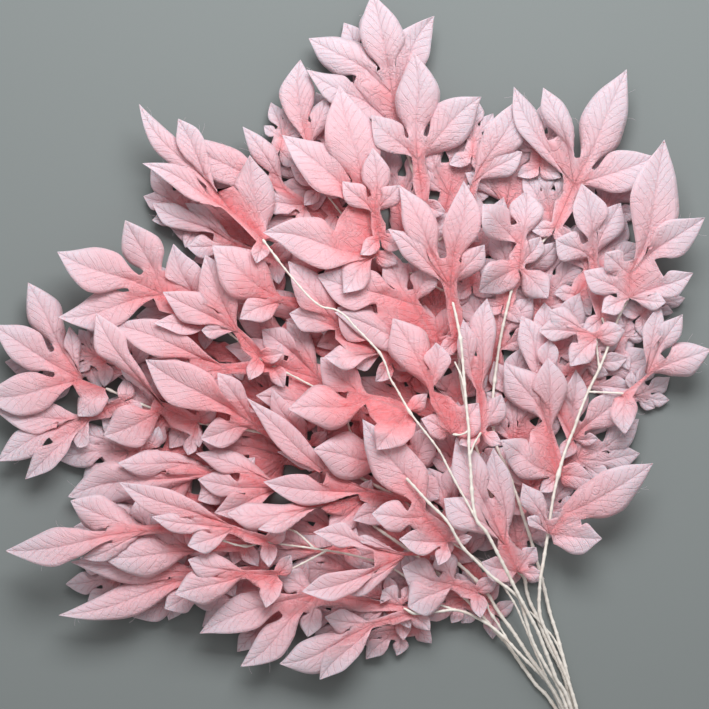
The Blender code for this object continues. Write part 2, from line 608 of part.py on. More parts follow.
def wire_mesh(name, line, radii):
    """A tapered wire as a closed mesh, made from a bevelled curve."""
    curve = bpy.data.curves.new(name, "CURVE")
    curve.dimensions = "3D"
    curve.bevel_depth = MM
    curve.bevel_resolution = 1
    curve.use_fill_caps = True
    spline = curve.splines.new("POLY")
    spline.points.add(len(line) - 1)
    for point, place, radius in zip(spline.points, line, radii):
        point.co = (*place * MM, 1.0)
        point.radius = radius
    holder = bpy.data.objects.new(name, curve)
    bpy.context.scene.collection.objects.link(holder)
    bpy.context.view_layer.update()
    mesh = bpy.data.meshes.new_from_object(holder.evaluated_get(bpy.context.evaluated_depsgraph_get()))
    bpy.data.objects.remove(holder)
    bpy.data.curves.remove(curve)
    shell = bmesh.new()
    shell.from_mesh(mesh)
    bmesh.ops.remove_doubles(shell, verts=shell.verts, dist=1e-6)
    bmesh.ops.recalc_face_normals(shell, faces=shell.faces)
    shell.to_mesh(mesh)
    shell.free()
    return mesh


def stem_object(stem, wires, group, cutters):
    """The solid of a stem: its main wire with its twigs joined on."""
    main_wire = bpy.data.objects.new(stem.name, wire_mesh(stem.name, *wires[0]))
    group.objects.link(main_wire)
    main_wire.data.materials.append(finish(stem.name + "_coating", COATING_COLOUR, 0.5))
    for number, (line, radii) in enumerate(wires[1:], 1):
        name = f"{stem.name}_twig_{number}"
        twig = bpy.data.objects.new(name, wire_mesh(name, line, radii))
        twig.hide_render = True
        twig.display_type = "WIRE"
        cutters.objects.link(twig)
        joined = main_wire.modifiers.new(name, "BOOLEAN")
        joined.operation = "UNION"
        joined.object = twig
    return main_wire


def sleeve_object(group):
    """The tape wound round the wires, as one open tube lying along the handle."""
    start, end = np.array(HANDLE_MOUTH), np.array(HANDLE_END)
    middle = (start + end) / 2.0
    run = end - start
    bpy.ops.mesh.primitive_cylinder_add(vertices=24, radius=SLEEVE_INNER * MM, end_fill_type="NOTHING",
                                        depth=float(np.linalg.norm(run)) * MM,
                                        location=(*middle * MM, (SLEEVE_INNER + SLEEVE_WALL) * MM),
                                        rotation=(math.pi / 2, 0.0, math.atan2(run[1], run[0]) + math.pi / 2))
    sleeve = bpy.context.object
    sleeve.name = sleeve.data.name = "tape_sleeve"
    for owner in sleeve.users_collection:
        owner.objects.unlink(sleeve)
    group.objects.link(sleeve)
    wall = sleeve.modifiers.new("wall", "SOLIDIFY")
    wall.thickness = SLEEVE_WALL * MM
    wall.offset = 1.0
    sleeve.data.shade_smooth()
    sleeve.data.materials.append(finish("tape", TAPE_COLOUR, 0.7))
    return sleeve


def box_of(objects):
    """The lowest and highest corners of the evaluated objects."""
    graph = bpy.context.evaluated_depsgraph_get()
    corners = []
    for item in objects:
        seen = item.evaluated_get(graph)
        mesh = seen.to_mesh()
        corners += [item.matrix_world @ vertex.co for vertex in mesh.vertices]
        seen.to_mesh_clear()
    corners = np.array(corners)
    return corners.min(0), corners.max(0)


def main():
    """Builds the branch."""
    for item in list(bpy.data.objects):
        bpy.data.objects.remove(item)
    branch, cutters = collection("willow_branch"), collection("cutters")
    pile = Pile()
    pieces = [sleeve_object(branch)]
    for entry in PILE:
        if isinstance(entry, Leaf):
            pieces.append(cloth_object(entry, *settle_leaf(entry, pile), branch))
        else:
            pieces.append(stem_object(entry, settle_stem(entry, pile), branch, cutters))
    bpy.context.view_layer.update()
    low, high = box_of(pieces)
    origin = bpy.data.objects.new("branch_origin", None)
    branch.objects.link(origin)
    for item in pieces + list(cutters.objects):
        item.parent = origin
    origin.location = (-(low[0] + high[0]) / 2.0, -(low[1] + high[1]) / 2.0, -low[2])
    bpy.context.view_layer.update()


main()
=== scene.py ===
"""Looks of the willow branch: pressed cloth leaves on coated wire stems, laid flat and taped into one handle.

Each leaf and each stem is rebuilt in fine detail over its CAD node, which gives it its place and its height.
Small leaves low in the pile, which no CAD node stands for, fill the gaps between them.
All are laid from the floor up, and each is eased clear of what it lies on.
Plan positions in the tables are in millimetres from the middle of the leafy part, as the branch was laid out;
every mesh is made in metres in the frame of the CAD part.
"""

import logging
import math
from dataclasses import dataclass
from enum import Enum

import bpy
import numpy as np
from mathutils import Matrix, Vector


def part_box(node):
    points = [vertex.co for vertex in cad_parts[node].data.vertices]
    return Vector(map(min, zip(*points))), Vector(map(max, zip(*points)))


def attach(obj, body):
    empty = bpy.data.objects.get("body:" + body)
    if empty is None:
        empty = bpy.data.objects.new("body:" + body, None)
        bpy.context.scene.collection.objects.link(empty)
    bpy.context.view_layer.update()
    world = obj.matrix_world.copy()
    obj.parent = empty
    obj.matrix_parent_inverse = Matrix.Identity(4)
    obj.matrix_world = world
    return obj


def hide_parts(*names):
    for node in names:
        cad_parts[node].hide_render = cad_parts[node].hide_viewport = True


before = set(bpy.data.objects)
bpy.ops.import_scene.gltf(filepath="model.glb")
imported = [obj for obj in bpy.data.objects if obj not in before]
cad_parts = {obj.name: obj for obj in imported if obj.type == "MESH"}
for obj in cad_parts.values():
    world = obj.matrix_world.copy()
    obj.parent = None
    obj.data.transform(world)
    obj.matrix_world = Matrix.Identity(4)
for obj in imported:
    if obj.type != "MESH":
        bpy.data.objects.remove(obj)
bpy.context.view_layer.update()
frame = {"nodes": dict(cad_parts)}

MM = 0.001
BODY = "root"
HANDLE_MOUTH = (235.0, -409.0)
HANDLE_END = (287.0, -541.0)
log = logging.getLogger("willow_branch")


class Ears(Enum):
    """Which of its two small foot ears a leaf keeps."""

    NONE = ()
    LEFT = (1.0,)
    RIGHT = (-1.0,)
    BOTH = (1.0, -1.0)


class DyeAndShade(Enum):
    """How deep a leaf's colour is, partly from its dyeing and partly painted shade, which makes the low leaves in the
    middle of the pile deeper and redder: the share added to its depth of colour.
    """

    PALE = -0.10
    ROSE = 0.0
    DEEP = 0.16
    RED = 0.34


@dataclass(frozen=True)
class LeafPlan:
    """One cut leaf: where it is tied, where its lobes part, and each lobe's tip, half width and optional bend."""

    name: str
    foot: tuple
    hub: tuple
    lobes: tuple
    ears: Ears = Ears.BOTH
    hub_turn: float = 62.0  # a lobe turned further than this, in degrees, leaves the foot and not the hub
    # how deep its colour is: its dyeing, with painted shade on the low leaves in the middle of the pile
    dye_and_shade: DyeAndShade = DyeAndShade.ROSE
    in_cad: bool = True


@dataclass(frozen=True)
class StemPlan:
    """One wire: its route from the handle to its tip, and the twigs that leave it."""

    name: str
    slot: tuple
    route: tuple
    twigs: tuple = ()


@dataclass(frozen=True)
class CageSizes:
    """The sizes that the leaves' coarse nets share with the CAD part, in millimetres, radians and shares."""

    ear_length: float = 25.0
    ear_half_width: float = 9.0
    ear_turn: float = math.radians(118.0)
    foot_half_width: float = 2.6
    foot_turn: float = math.radians(44.0)
    fullness: float = 1.18
    widest: float = 0.52  # share of a lobe's length at which it is widest
    roundness: float = 0.6
    ear_widest: float = 0.55
    ear_span: float = 0.6
    neck: float = 0.52  # width left where two lobes part, as a share of their mean width
    least_neck: float = 7.0
    least_part: float = 0.12  # sine of the least half angle that counts between two lobes
    rows: tuple = (0.36, 0.70)
    ear_rows: tuple = (0.5,)
    narrowest: float = 1.5
    gap: float = 0.5


@dataclass(frozen=True)
class ClothSizes:
    """How a fine leaf is pressed and how it hangs, in millimetres and shares."""

    fullness: float = 1.5  # widening of a lobe over the half width listed
    ear_fullness: float = 0.95
    widest: float = 0.46  # share of a lobe's length at which it is widest
    root_span: float = 0.56
    root_roundness: float = 0.75
    tip_draw: float = 1.9  # how late the sides turn in towards the tip
    tip_hollow: float = 0.28
    bow: float = 0.055  # most that a midrib bows beyond the CAD leaf's, as a share of its length
    sway: float = 0.03  # most that it swings to either side, as the same share
    easing: float = 4.0  # how sharply an edge turns where the next lobe begins to hold it back
    slow_wave: tuple = (0.045, 8.0)  # height and rate of the long waves of an edge
    quick_wave: tuple = (0.02, 21.0)
    overlap: float = 0.86  # how far a lobe may reach towards the midrib beside it
    shingle: float = 2.0  # how far a lobe's left edge lies over the lobe beside it
    web_along: float = 0.3  # how far the colour of a lobe has turned where two lobes part
    thickness: float = 0.42
    row_gap: float = 2.8
    columns: tuple = (0.07, 0.22, 0.42, 0.61, 0.80, 1.0)
    puff: float = 0.06  # how far each half of a lobe swells, as a share of its half width
    crease: float = 0.62  # depth of the pressed midrib
    crease_width: float = 1.3
    vein_depth: float = 0.42
    vein_width: float = 1.7
    vein_gap: float = 11.0
    vein_slant: float = 24.0
    vein_curve: float = 0.8
    vein_reach: float = 16.0  # half width at which a side vein runs out at its full slant
    ruffle: float = 0.07
    ruffles: float = 1.6  # waves along an edge
    curl: float = 0.22
    rise: float = 0.12  # how steeply a low leaf leaves its foot
    air: float = 0.45  # least air between the cloth and what it lies on
    low_foot: float = 3.0  # height of a low leaf's foot over that air


CAGE = CageSizes()
CLOTH = ClothSizes()
RING = 4.75
SHADE_HEART = (-40.0, -40.0)  # painted shade: the middle of the pile, where leaf colour is made deepest and reddest to stand for shade and bounced light
SHADE_REACH = 300.0


def slot_on_ring(step: int) -> tuple:
    """A wire's place in the handle, in step sevenths of a turn from the lowest one."""
    turn = math.radians(-90.0) + step * 2.0 * math.pi / 7.0
    return (RING * math.cos(turn), RING * math.sin(turn))


def unit(vector: np.ndarray) -> np.ndarray:
    """The vector at length one."""
    vector = np.asarray(vector, float)
    return vector / max(np.linalg.norm(vector), 1e-9)


def turned(vector: np.ndarray, angle: float) -> np.ndarray:
    """The plan vector turned by an angle, in radians, to its left."""
    c, s = math.cos(angle), math.sin(angle)
    return np.array((c * vector[0] - s * vector[1], s * vector[0] + c * vector[1]))


def turn_between(start: np.ndarray, end: np.ndarray) -> float:
    """The signed angle from one plan vector to another, positive to the left."""
    return math.atan2(start[0] * end[1] - start[1] * end[0], start[0] * end[0] + start[1] * end[1])


def ease(share: np.ndarray) -> np.ndarray:
    """A smooth step from 0 to 1."""
    share = np.clip(share, 0.0, 1.0)
    return share * share * (3.0 - 2.0 * share)


def lasting_draw(*numbers: float) -> float:
    """A number from -1 to 1 that looks random and is always the same for the same numbers."""
    total = sum(number * factor for number, factor in zip(numbers, (12.9898, 78.233, 37.719, 4.581)))
    return 2.0 * ((math.sin(total) * 43758.5453) % 1.0) - 1.0


def smooth_line(points: list, step: float) -> np.ndarray:
    """Points every step along a smooth curve through the given ones."""
    points = np.array(points, float)
    padded = np.vstack((2 * points[0] - points[1], points, 2 * points[-1] - points[-2]))
    dense = []
    for a, b, c, d in zip(padded, padded[1:], padded[2:], padded[3:]):
        for t in np.linspace(0.0, 1.0, 12, endpoint=False):
            dense.append(0.5 * (2 * b + (c - a) * t + (2 * a - 5 * b + 4 * c - d) * t ** 2
                                + (3 * b - a - 3 * c + d) * t ** 3))
    dense = np.array(dense + [points[-1]])
    along = lengths_along(dense)
    places = np.linspace(0.0, along[-1], max(3, int(round(along[-1] / step)) + 1))
    return np.stack([np.interp(places, along, dense[:, k]) for k in range(dense.shape[1])], axis=1)


def lengths_along(points: np.ndarray) -> np.ndarray:
    """The length of a line up to each of its points."""
    return np.concatenate(([0.0], np.cumsum(np.linalg.norm(np.diff(points, axis=0), axis=1))))


def new_object(name: str, data: bpy.types.ID) -> bpy.types.Object:
    """A new object in the scene."""
    made = bpy.data.objects.new(name, data)
    bpy.context.scene.collection.objects.link(made)
    return made


def select_only(*objects: bpy.types.Object) -> None:
    """Selects these objects and nothing else, with the first one active."""
    bpy.ops.object.select_all(action="DESELECT")
    for chosen in objects:
        chosen.select_set(True)
    bpy.context.view_layer.objects.active = objects[0]


def new_tube(name: str, radius: float, resolution: int) -> bpy.types.Curve:
    """A curve whose lines become round tubes of a radius, in millimetres."""
    tube = bpy.data.curves.new(name, "CURVE")
    tube.dimensions = "3D"
    tube.bevel_depth = radius * MM
    tube.bevel_resolution = resolution
    return tube


def add_line(tube: bpy.types.Curve, points: np.ndarray, widths: np.ndarray | None = None) -> None:
    """Adds a line to a curve.

    Args:
        tube: the curve.
        points: the line's points in millimetres, one a row.
        widths: how many times the curve's radius the tube has at each, or None for once everywhere.
    """
    line = tube.splines.new("POLY")
    line.points.add(len(points) - 1)
    for point, place, width in zip(line.points, points * MM, np.ones(len(points)) if widths is None else widths):
        point.co = (*place, 1.0)
        point.radius = width


def add_values(mesh: bpy.types.Mesh, name: str, values: np.ndarray) -> None:
    """Adds a number for each point of a mesh, which a finish can read by its name."""
    mesh.attributes.new(name, "FLOAT", "POINT").data.foreach_set("value", np.array(values, np.float32))


# The pile, from the floor up.
PILE = (
    StemPlan("stem_1", slot_on_ring(0),
         ((212, -327), (195, -292), (183, -262), (175, -245), (171, -225), (162, -212), (153, -185), (135, -135),
          (117, -75), (107, -25), (103, 15), (93, 65), (81, 110), (69, 149), (57, 190), (46, 224)),
         (((93, 65), (60, 80), (24, 97), (-8, 135), (-31, 165)), ((81, 110), (107, 130)), ((105, -5), (84, 8)))),
    LeafPlan("leaf_1", (-17, -47), (-35, -25), ((-93, 25, 21), (-130, 8, 16), (-68, 33, 13), (-99, -41, 14))),
    LeafPlan("leaf_2", (-8, -195), (-30, -198), ((-101, -201, 17), (-86, -176, 9))),
    LeafPlan("leaf_3", (47, -251), (-37, -240),
         ((-155, -279, 15), (-114, -312, 14), (-47, -283, 12), (-76, -221, 12), (28, -235, 13)), hub_turn=100.0),
    LeafPlan("leaf_4", (59, -258), (20, -268), ((-35, -325, 13), (-75, -309, 18), (-30, -262, 11))),
    LeafPlan("leaf_5", (-115, -123), (-140, -119), ((-288, -143, 24), (-236, -108, 15), (-157, -146, 14))),
    LeafPlan("leaf_6", (-93, -217), (-142, -218), ((-282, -206, 13), (-295, -260, 12), (-190, -254, 17))),
    LeafPlan("leaf_7", (-110, -191), (-155, -196), ((-252, -200, 16), (-205, -160, 13))),
    LeafPlan("leaf_8", (-167, -173), (-205, -174), ((-347, -195, 17), (-282, -145, 18), (-271, -202, 9))),
    StemPlan("stem_2", slot_on_ring(-1),
         ((197, -348), (187, -338), (175, -322), (163, -305), (154, -292), (143, -280), (131, -266), (119, -253),
          (104, -238), (82, -218), (57, -198), (45, -190), (25, -176), (7, -162), (-20, -146), (-50, -137),
          (-85, -127), (-115, -123))),
    StemPlan("stem_3", slot_on_ring(1),
         ((218, -338), (213, -316), (208, -297), (203, -278), (198, -264), (193, -243), (188, -223), (181, -199),
          (177, -185), (170, -165), (164, -146), (158, -130), (154, -116), (148, -106), (144, -95), (140, -81),
          (139, -45), (145, 5), (153, 45), (165, 87), (183, 107), (201, 127)),
         (((211, -305), (203, -290), (196, -280), (187, -270), (177, -259)),)),
    StemPlan("stem_4", slot_on_ring(-2),
         ((200, -339), (187, -322), (177, -312), (167, -302), (153, -287), (136, -272), (124, -265), (114, -260),
          (104.6, -256), (85, -257), (57, -258), (49, -253)),
         (((104.6, -256), (95, -253), (81, -249), (65, -235), (40, -215), (0, -201), (-45, -193), (-75, -189),
           (-87, -186), (-110, -191), (-140, -182), (-167, -173)),
          ((153, -287), (145, -272), (138, -262), (133, -253), (130, -245), (123, -239)),
          ((-45, -193), (-57, -178), (-70, -173)),
          ((-25, -197), (-55, -210), (-77, -220)))),
    LeafPlan("leaf_9", (-77, -220), (-105, -217),
         ((-178, -237, 17), (-165, -203, 14), (-88, -252, 7)), ears=Ears.RIGHT),
    LeafPlan("leaf_10", (-50, -137), (-75, -133), ((-157, -125, 16), (-159, -99, 11), (-140, -158, 13))),
    LeafPlan("leaf_11", (-87, -186), (-120, -172), ((-233, -126, 13, -0.03), (-165, -189, 13), (-200, -160, 10))),
    StemPlan("stem_5", (0.0, 0.0),
         ((203, -343), (188, -320), (176, -304), (165, -287), (154, -271), (146, -261), (140, -251), (132, -238),
          (115, -220), (100, -207), (85, -199), (70, -175), (52, -150), (5, -123), (-47, -93), (-100, -77),
          (-157, -68), (-205, -53), (-249, -34)),
         (((201, -338), (193, -325), (186, -309), (178, -290), (172, -275), (167, -264), (162, -252), (153, -238),
           (140, -220), (115, -200), (92, -186)),
          ((5, -123), (-5, -75), (-17, -47), (-55, -25), (-93, -5), (-120, 17), (-145, 35)))),
    LeafPlan("leaf_12", (-230, -47), (-265, -62),
         ((-358, -107, 16), (-330, -125, 12), (-277, -94, 13), (-366, -52, 13))),
    LeafPlan("leaf_13", (-249, -34), (-273, -25),
         ((-327, 72, 18), (-362, 30, 16), (-373, -41, 17), (-285, 28, 9), (-277, -62, 11)), ears=Ears.NONE),
    LeafPlan("leaf_14", (-83, -12), (-125, -15), ((-242, 30, 16), (-157, -33, 14), (-205, -12, 13))),
    LeafPlan("leaf_15", (-79, 95), (-118, 110), ((-203, 152, 16), (-170, 152, 9), (-168, 108, 13))),
    LeafPlan("leaf_16", (-50, 150), (-70, 165), ((-195, 213, 13, -0.10), (-112, 228, 9), (-90, 152, 16))),
    LeafPlan("leaf_17", (-145, 35), (-190, 60),
         ((-295, 102, 19), (-227, 133, 17), (-180, 110, 15), (-295, 37, 15), (-199, 31, 7)), ears=Ears.RIGHT),
    LeafPlan("leaf_18", (-95, -3), (-115, 22), ((-148, 99, 16), (-152, 24, 11), (-190, 62, 14))),
    LeafPlan("leaf_19", (-157, -68), (-190, -53),
         ((-256, 41, 18), (-251, -81, 17), (-167, -101, 10), (-234, -10, 12))),
    LeafPlan("leaf_20", (7, -148), (-25, -150), ((-127, -158, 18), (-26, -177, 12), (-95, -172, 10))),
    LeafPlan("leaf_21", (-47, -93), (-100, -70), ((-207, -5, 21), (-154, -84, 13), (-136, -18, 12), (-82, -34, 9))),
    LeafPlan("leaf_22", (50, -148), (15, -137),
         ((-91, -127, 14), (-77, -97, 10), (-107, -43, 11, 0.06), (-2, -166, 11))),
    LeafPlan("leaf_23", (123, -239), (100, -230), ((53, -252, 22), (47, -212, 18), (86, -196, 12))),
    LeafPlan("leaf_24", (85, -200), (50, -200),
         ((-9, -237, 17), (-52, -234, 17), (-41, -176, 13), (3, -181, 11)), ears=Ears.RIGHT),
    LeafPlan("leaf_25", (51, -123), (40, -108),
         ((-41, -94, 19), (21, -83, 13), (49, -57, 13), (78, -71, 13), (85, -145, 12)),
         ears=Ears.NONE),
    LeafPlan("leaf_26", (92, -186), (70, -160),
         ((8, -64, 16, -0.05), (17, -157, 14), (44, -183, 10), (112, -165, 10))),
    LeafPlan("leaf_27", (54, -56), (17, -43), ((-66, -54, 17), (-34, -3, 17), (22, -94, 13)), ears=Ears.RIGHT),
    LeafPlan("leaf_28", (-35, 44), (-70, 55), ((-141, 108, 18), (-114, 35, 11))),
    LeafPlan("leaf_29", (28, 2), (-10, 23),
         ((-65, 41, 15), (-66, 93, 14), (2, -14, 10), (-30, -2, 12)), ears=Ears.RIGHT),
    LeafPlan("leaf_30", (37, -8), (28, 15), ((-17, 47, 17), (40, 39, 15))),
    LeafPlan("leaf_31", (-33, 167), (-45, 205), ((-54, 295, 16, 0.04), (-28, 257, 12), (-65, 195, 9))),
    LeafPlan("leaf_32", (45, 227), (39, 261), ((-46, 317, 19), (18, 361, 18, 0.08), (80, 339, 14), (-48, 284, 13))),
    LeafPlan("leaf_33", (82, 10), (60, 50), ((-38, 79, 19, -0.05), (75, 87, 13), (-20, 42, 12), (30, 100, 12))),
    LeafPlan("leaf_34", (-91, 114), (-123, 143),
         ((-104, 198, 16), (-175, 234, 19), (-214, 249, 11, 0.02), (-211, 190, 9))),
    LeafPlan("leaf_35", (164, -218), (150, -190),
         ((88, -142, 18), (101, -82, 19), (138, -93, 14), (182, -193, 10), (127, -207, 10)), ears=Ears.RIGHT),
    LeafPlan("leaf_36", (20, 99), (13, 140),
         ((-91, 121, 17), (-72, 218, 16), (-15, 268, 20), (-11, 61, 12)), ears=Ears.RIGHT),
    LeafPlan("leaf_37", (69, 151), (63, 195), ((59, 301, 18), (127, 258, 17), (17, 238, 13))),
    LeafPlan("leaf_38", (107, 130), (118, 172), ((163, 255, 16), (168, 203, 14))),
    LeafPlan("leaf_39", (25, 115), (20, 140), ((18, 205, 12), (44, 168, 10), (-12, 172, 10))),
    LeafPlan("leaf_40", (103, 15), (95, 67), ((33, 124, 11), (44, 168, 14), (108, 172, 15), (129, 109, 12))),
    LeafPlan("leaf_41", (201, 127), (220, 170), ((159, 267, 14), (188, 266, 17), (272, 285, 17), (300, 198, 16))),
    LeafPlan("leaf_42", (248, 37), (240, 95), ((201, 115, 16), (227, 171, 15), (267, 152, 15))),
    LeafPlan("leaf_43", (165, 87), (167, 110),
         ((172, 164, 17), (127, 149, 16), (124, 62, 12), (194, 56, 12), (186, 118, 11)),
         ears=Ears.NONE),
    LeafPlan("leaf_44", (125, -77), (125, -40), ((132, 56, 15), (147, -40, 11), (108, 35, 10))),
    LeafPlan("leaf_45", (97, -79), (77, -40),
         ((38, 36, 20), (66, -64, 8), (81, 12, 14), (123, -48, 11)), ears=Ears.NONE),
    LeafPlan("leaf_46", (220, -85), (195, -40), ((167, 39, 17), (195, 15, 15), (271, -38, 15), (222, -15, 11))),
    LeafPlan("leaf_47", (205, -122), (197, -80),
         ((145, -85, 14), (150, -8, 17), (193, -3, 17), (240, -126, 9)), ears=Ears.LEFT),
    LeafPlan("leaf_48", (269, -39), (292, -20),
         ((355, 5, 15), (327, 40, 12), (270, -80, 9), (305, 50, 10)), ears=Ears.NONE),
    StemPlan("stem_6", slot_on_ring(2),
         ((217, -335), (202, -300), (190, -273), (185, -255), (186, -225), (188, -213), (193, -183), (200, -138),
          (210, -100), (221, -72), (225, -60), (235, -35), (245, -15), (255, 10), (265, 38), (275, 57)),
         (((245, -15), (243, 4), (242, 17)), ((235, -35), (252, -38), (269, -39)), ((255, 10), (252, 24), (248, 37)))),
    LeafPlan("leaf_49", (242, 17), (233, 22),
         ((194, 44, 13), (184, 24, 13), (270, 24, 9), (215, -12, 10)), ears=Ears.NONE),
    LeafPlan("leaf_50", (275, 57), (275, 80),
         ((307, 213, 19, -0.08), (348, 136, 15), (337, 81, 12), (249, 101, 12), (228, 83, 13), (310, 52, 10),
          (246, 42, 9)),
         ears=Ears.NONE),
    LeafPlan("leaf_51", (195, -179), (208, -160), ((297, -108, 15), (246, -183, 13), (167, -128, 11), (172, -162, 9)),
         ears=Ears.NONE),
    StemPlan("stem_7", slot_on_ring(-3),
         ((206, -337), (192, -313), (178, -287), (170, -262), (164, -243), (157, -236), (148, -229), (137, -221),
          (125, -209), (116, -200), (105, -188), (91, -164), (73, -146), (55, -126), (51, -122))),
    StemPlan("stem_8", slot_on_ring(3),
         ((211, -339), (203, -327), (195, -307), (187, -287), (181, -272), (175, -262), (170, -252), (163, -239),
          (156, -225), (148.5, -210), (135, -184), (128, -172), (120, -162), (116, -136), (115, -116), (113, -92),
          (113, -75), (110, -45), (106, 5), (103, 25), (100, 40), (97, 52)),
         (((120, -162), (110, -144), (102, -130), (91, -109), (83, -94), (70, -77), (54, -56), (44, -38), (35, -23),
           (26, 0), (-2, 30), (-15, 43), (-37, 50), (-65, 80), (-91, 114)),
          ((110, -35), (105, -20), (99, -7)),
          ((113, -80), (103, -80), (97, -79)),
          ((114, -95), (120, -84), (125, -77)))),
)


@dataclass(frozen=True)
class Fan:
    """The usual cut of a leaf that lies mostly hidden: lobes fanned round its hub."""

    spine: float = 0.24  # hub distance from the foot, as a share of the leaf's length
    turns: tuple = (0.0, 31.0, -31.0, 63.0, -63.0)
    lengths: tuple = (0.76, 0.66, 0.66, 0.44, 0.44)
    widths: tuple = (0.155, 0.14, 0.14, 0.10, 0.10)
    turn_varies: float = 0.12
    length_varies: float = 0.10
    bend: float = 0.05

    def plan(self, number: int, x: float, y: float, heading: float, length: float, dye_and_shade: DyeAndShade = DyeAndShade.ROSE
             ) -> LeafPlan:
        """The plan of one such leaf.

        Args:
            number: its number, which names it.
            x: its foot's plan place in millimetres.
            y: the same, towards the crown.
            heading: where it points, in degrees from +X.
            length: from its foot to its longest tip, in millimetres.
            dye_and_shade: how deep its colour is: its dyeing, with painted shade for the low leaves in the middle of
                the pile.

        Returns:
            The plan, with both ears, and all lobes on its hub.
        """
        hub = np.array((x, y)) + self.spine * length * turned(np.array((1.0, 0.0)), math.radians(heading))
        lobes = []
        for order, (turn, share, width) in enumerate(zip(self.turns, self.lengths, self.widths)):
            vary = lasting_draw(x, y, order)
            angle = math.radians(heading + turn * (1.0 + self.turn_varies * vary))
            reach = share * length * (1.0 + self.length_varies * lasting_draw(y, x, order))
            tip = hub + reach * np.array((math.cos(angle), math.sin(angle)))
            lobes.append((float(tip[0]), float(tip[1]), width * length, self.bend * vary))
        return LeafPlan(f"under_leaf_{number}", (x, y), tuple(hub), tuple(lobes), hub_turn=90.0, dye_and_shade=dye_and_shade, in_cad=False)


# Leaves low in the pile, mostly hidden: foot x and y, heading in degrees, length, and how deep its colour is where not
# rose: its dyeing, with painted shade that makes the leaves in the middle deeper and redder.
UNDER_ROWS = (
    (48, 125, 98, 100), (88, 135, 74, 112), (150, 120, 84, 120), (238, 122, 62, 92), (182, 18, 82, 118),
    (140, -25, 88, 112), (212, -55, 56, 118), (205, -118, 33, 96, DyeAndShade.PALE), (180, -172, 52, 66),
    (168, -218, 99, 118), (125, -228, 128, 98, DyeAndShade.DEEP), (106, -66, 95, 88), (106, -124, 114, 90, DyeAndShade.DEEP),
    (78, -58, 154, 84, DyeAndShade.RED), (48, -98, 164, 104, DyeAndShade.DEEP), (62, -142, 164, 90, DyeAndShade.DEEP),
    (12, -186, 170, 98, DyeAndShade.DEEP), (78, -198, 164, 104, DyeAndShade.DEEP), (22, -222, 176, 98), (92, -236, 178, 98),
    (-58, -230, 184, 122), (-132, -222, 179, 118), (-136, -152, 174, 122, DyeAndShade.DEEP), (-120, -112, 172, 140, DyeAndShade.RED),
    (-58, -62, 160, 112, DyeAndShade.DEEP), (-38, -108, 170, 122, DyeAndShade.DEEP), (-118, -2, 164, 132, DyeAndShade.DEEP),
    (-213, -36, 128, 92), (-128, -58, 174, 112, DyeAndShade.DEEP), (-58, 40, 150, 84, DyeAndShade.DEEP), (-18, 4, 160, 102, DyeAndShade.DEEP),
    (32, 74, 168, 112, DyeAndShade.RED), (2, 118, 154, 112, DyeAndShade.DEEP), (-18, 140, 120, 108, DyeAndShade.DEEP),
    (-88, 100, 140, 122, DyeAndShade.DEEP), (-8, 188, 112, 84), (86, 22, 100, 98, DyeAndShade.DEEP), (225, 60, 60, 98),
    (55, 30, 130, 98, DyeAndShade.RED), (-165, -68, 168, 92), (10, -60, 165, 92, DyeAndShade.RED), (-180, -188, 172, 98),
    (118, 70, 92, 102), (20, 20, 145, 98, DyeAndShade.RED), (-75, -170, 174, 108, DyeAndShade.DEEP), (160, -80, 84, 92),
    (-150, 30, 150, 84), (140, -262, 150, 60), (-205, -95, 186, 90, DyeAndShade.PALE), (-265, -12, 177, 90, DyeAndShade.PALE),
    (262, 5, 62, 60, DyeAndShade.PALE), (20, -262, 184, 78), (-160, 130, 128, 72), (-215, -222, 187, 74), (62, -272, 192, 66),
    (198, 128, 96, 66), (-72, -258, 222, 62), (114, -135, 92, 88, DyeAndShade.DEEP), (98, -195, 86, 92, DyeAndShade.DEEP),
    (270, -48, 28, 56, DyeAndShade.PALE), (288, 40, 42, 54, DyeAndShade.PALE), (-250, -8, 150, 52, DyeAndShade.PALE),
    (8, 270, 84, 80, DyeAndShade.PALE), (118, 200, 84, 56), (186, 190, 88, 62), (-75, 205, 78, 54, DyeAndShade.PALE),
    (150, -110, 62, 84, DyeAndShade.DEEP), (190, -20, 66, 88), (150, 50, 70, 92), (130, -165, 70, 78, DyeAndShade.DEEP),
    (50, -262, 150, 74, DyeAndShade.DEEP), (130, -250, 168, 72, DyeAndShade.DEEP), (175, -150, 80, 70, DyeAndShade.DEEP), (215, -20, 40, 70),
    (60, -20, 60, 84, DyeAndShade.RED),
)
UNDER = tuple(Fan().plan(number, *row) for number, row in enumerate(UNDER_ROWS, 1))


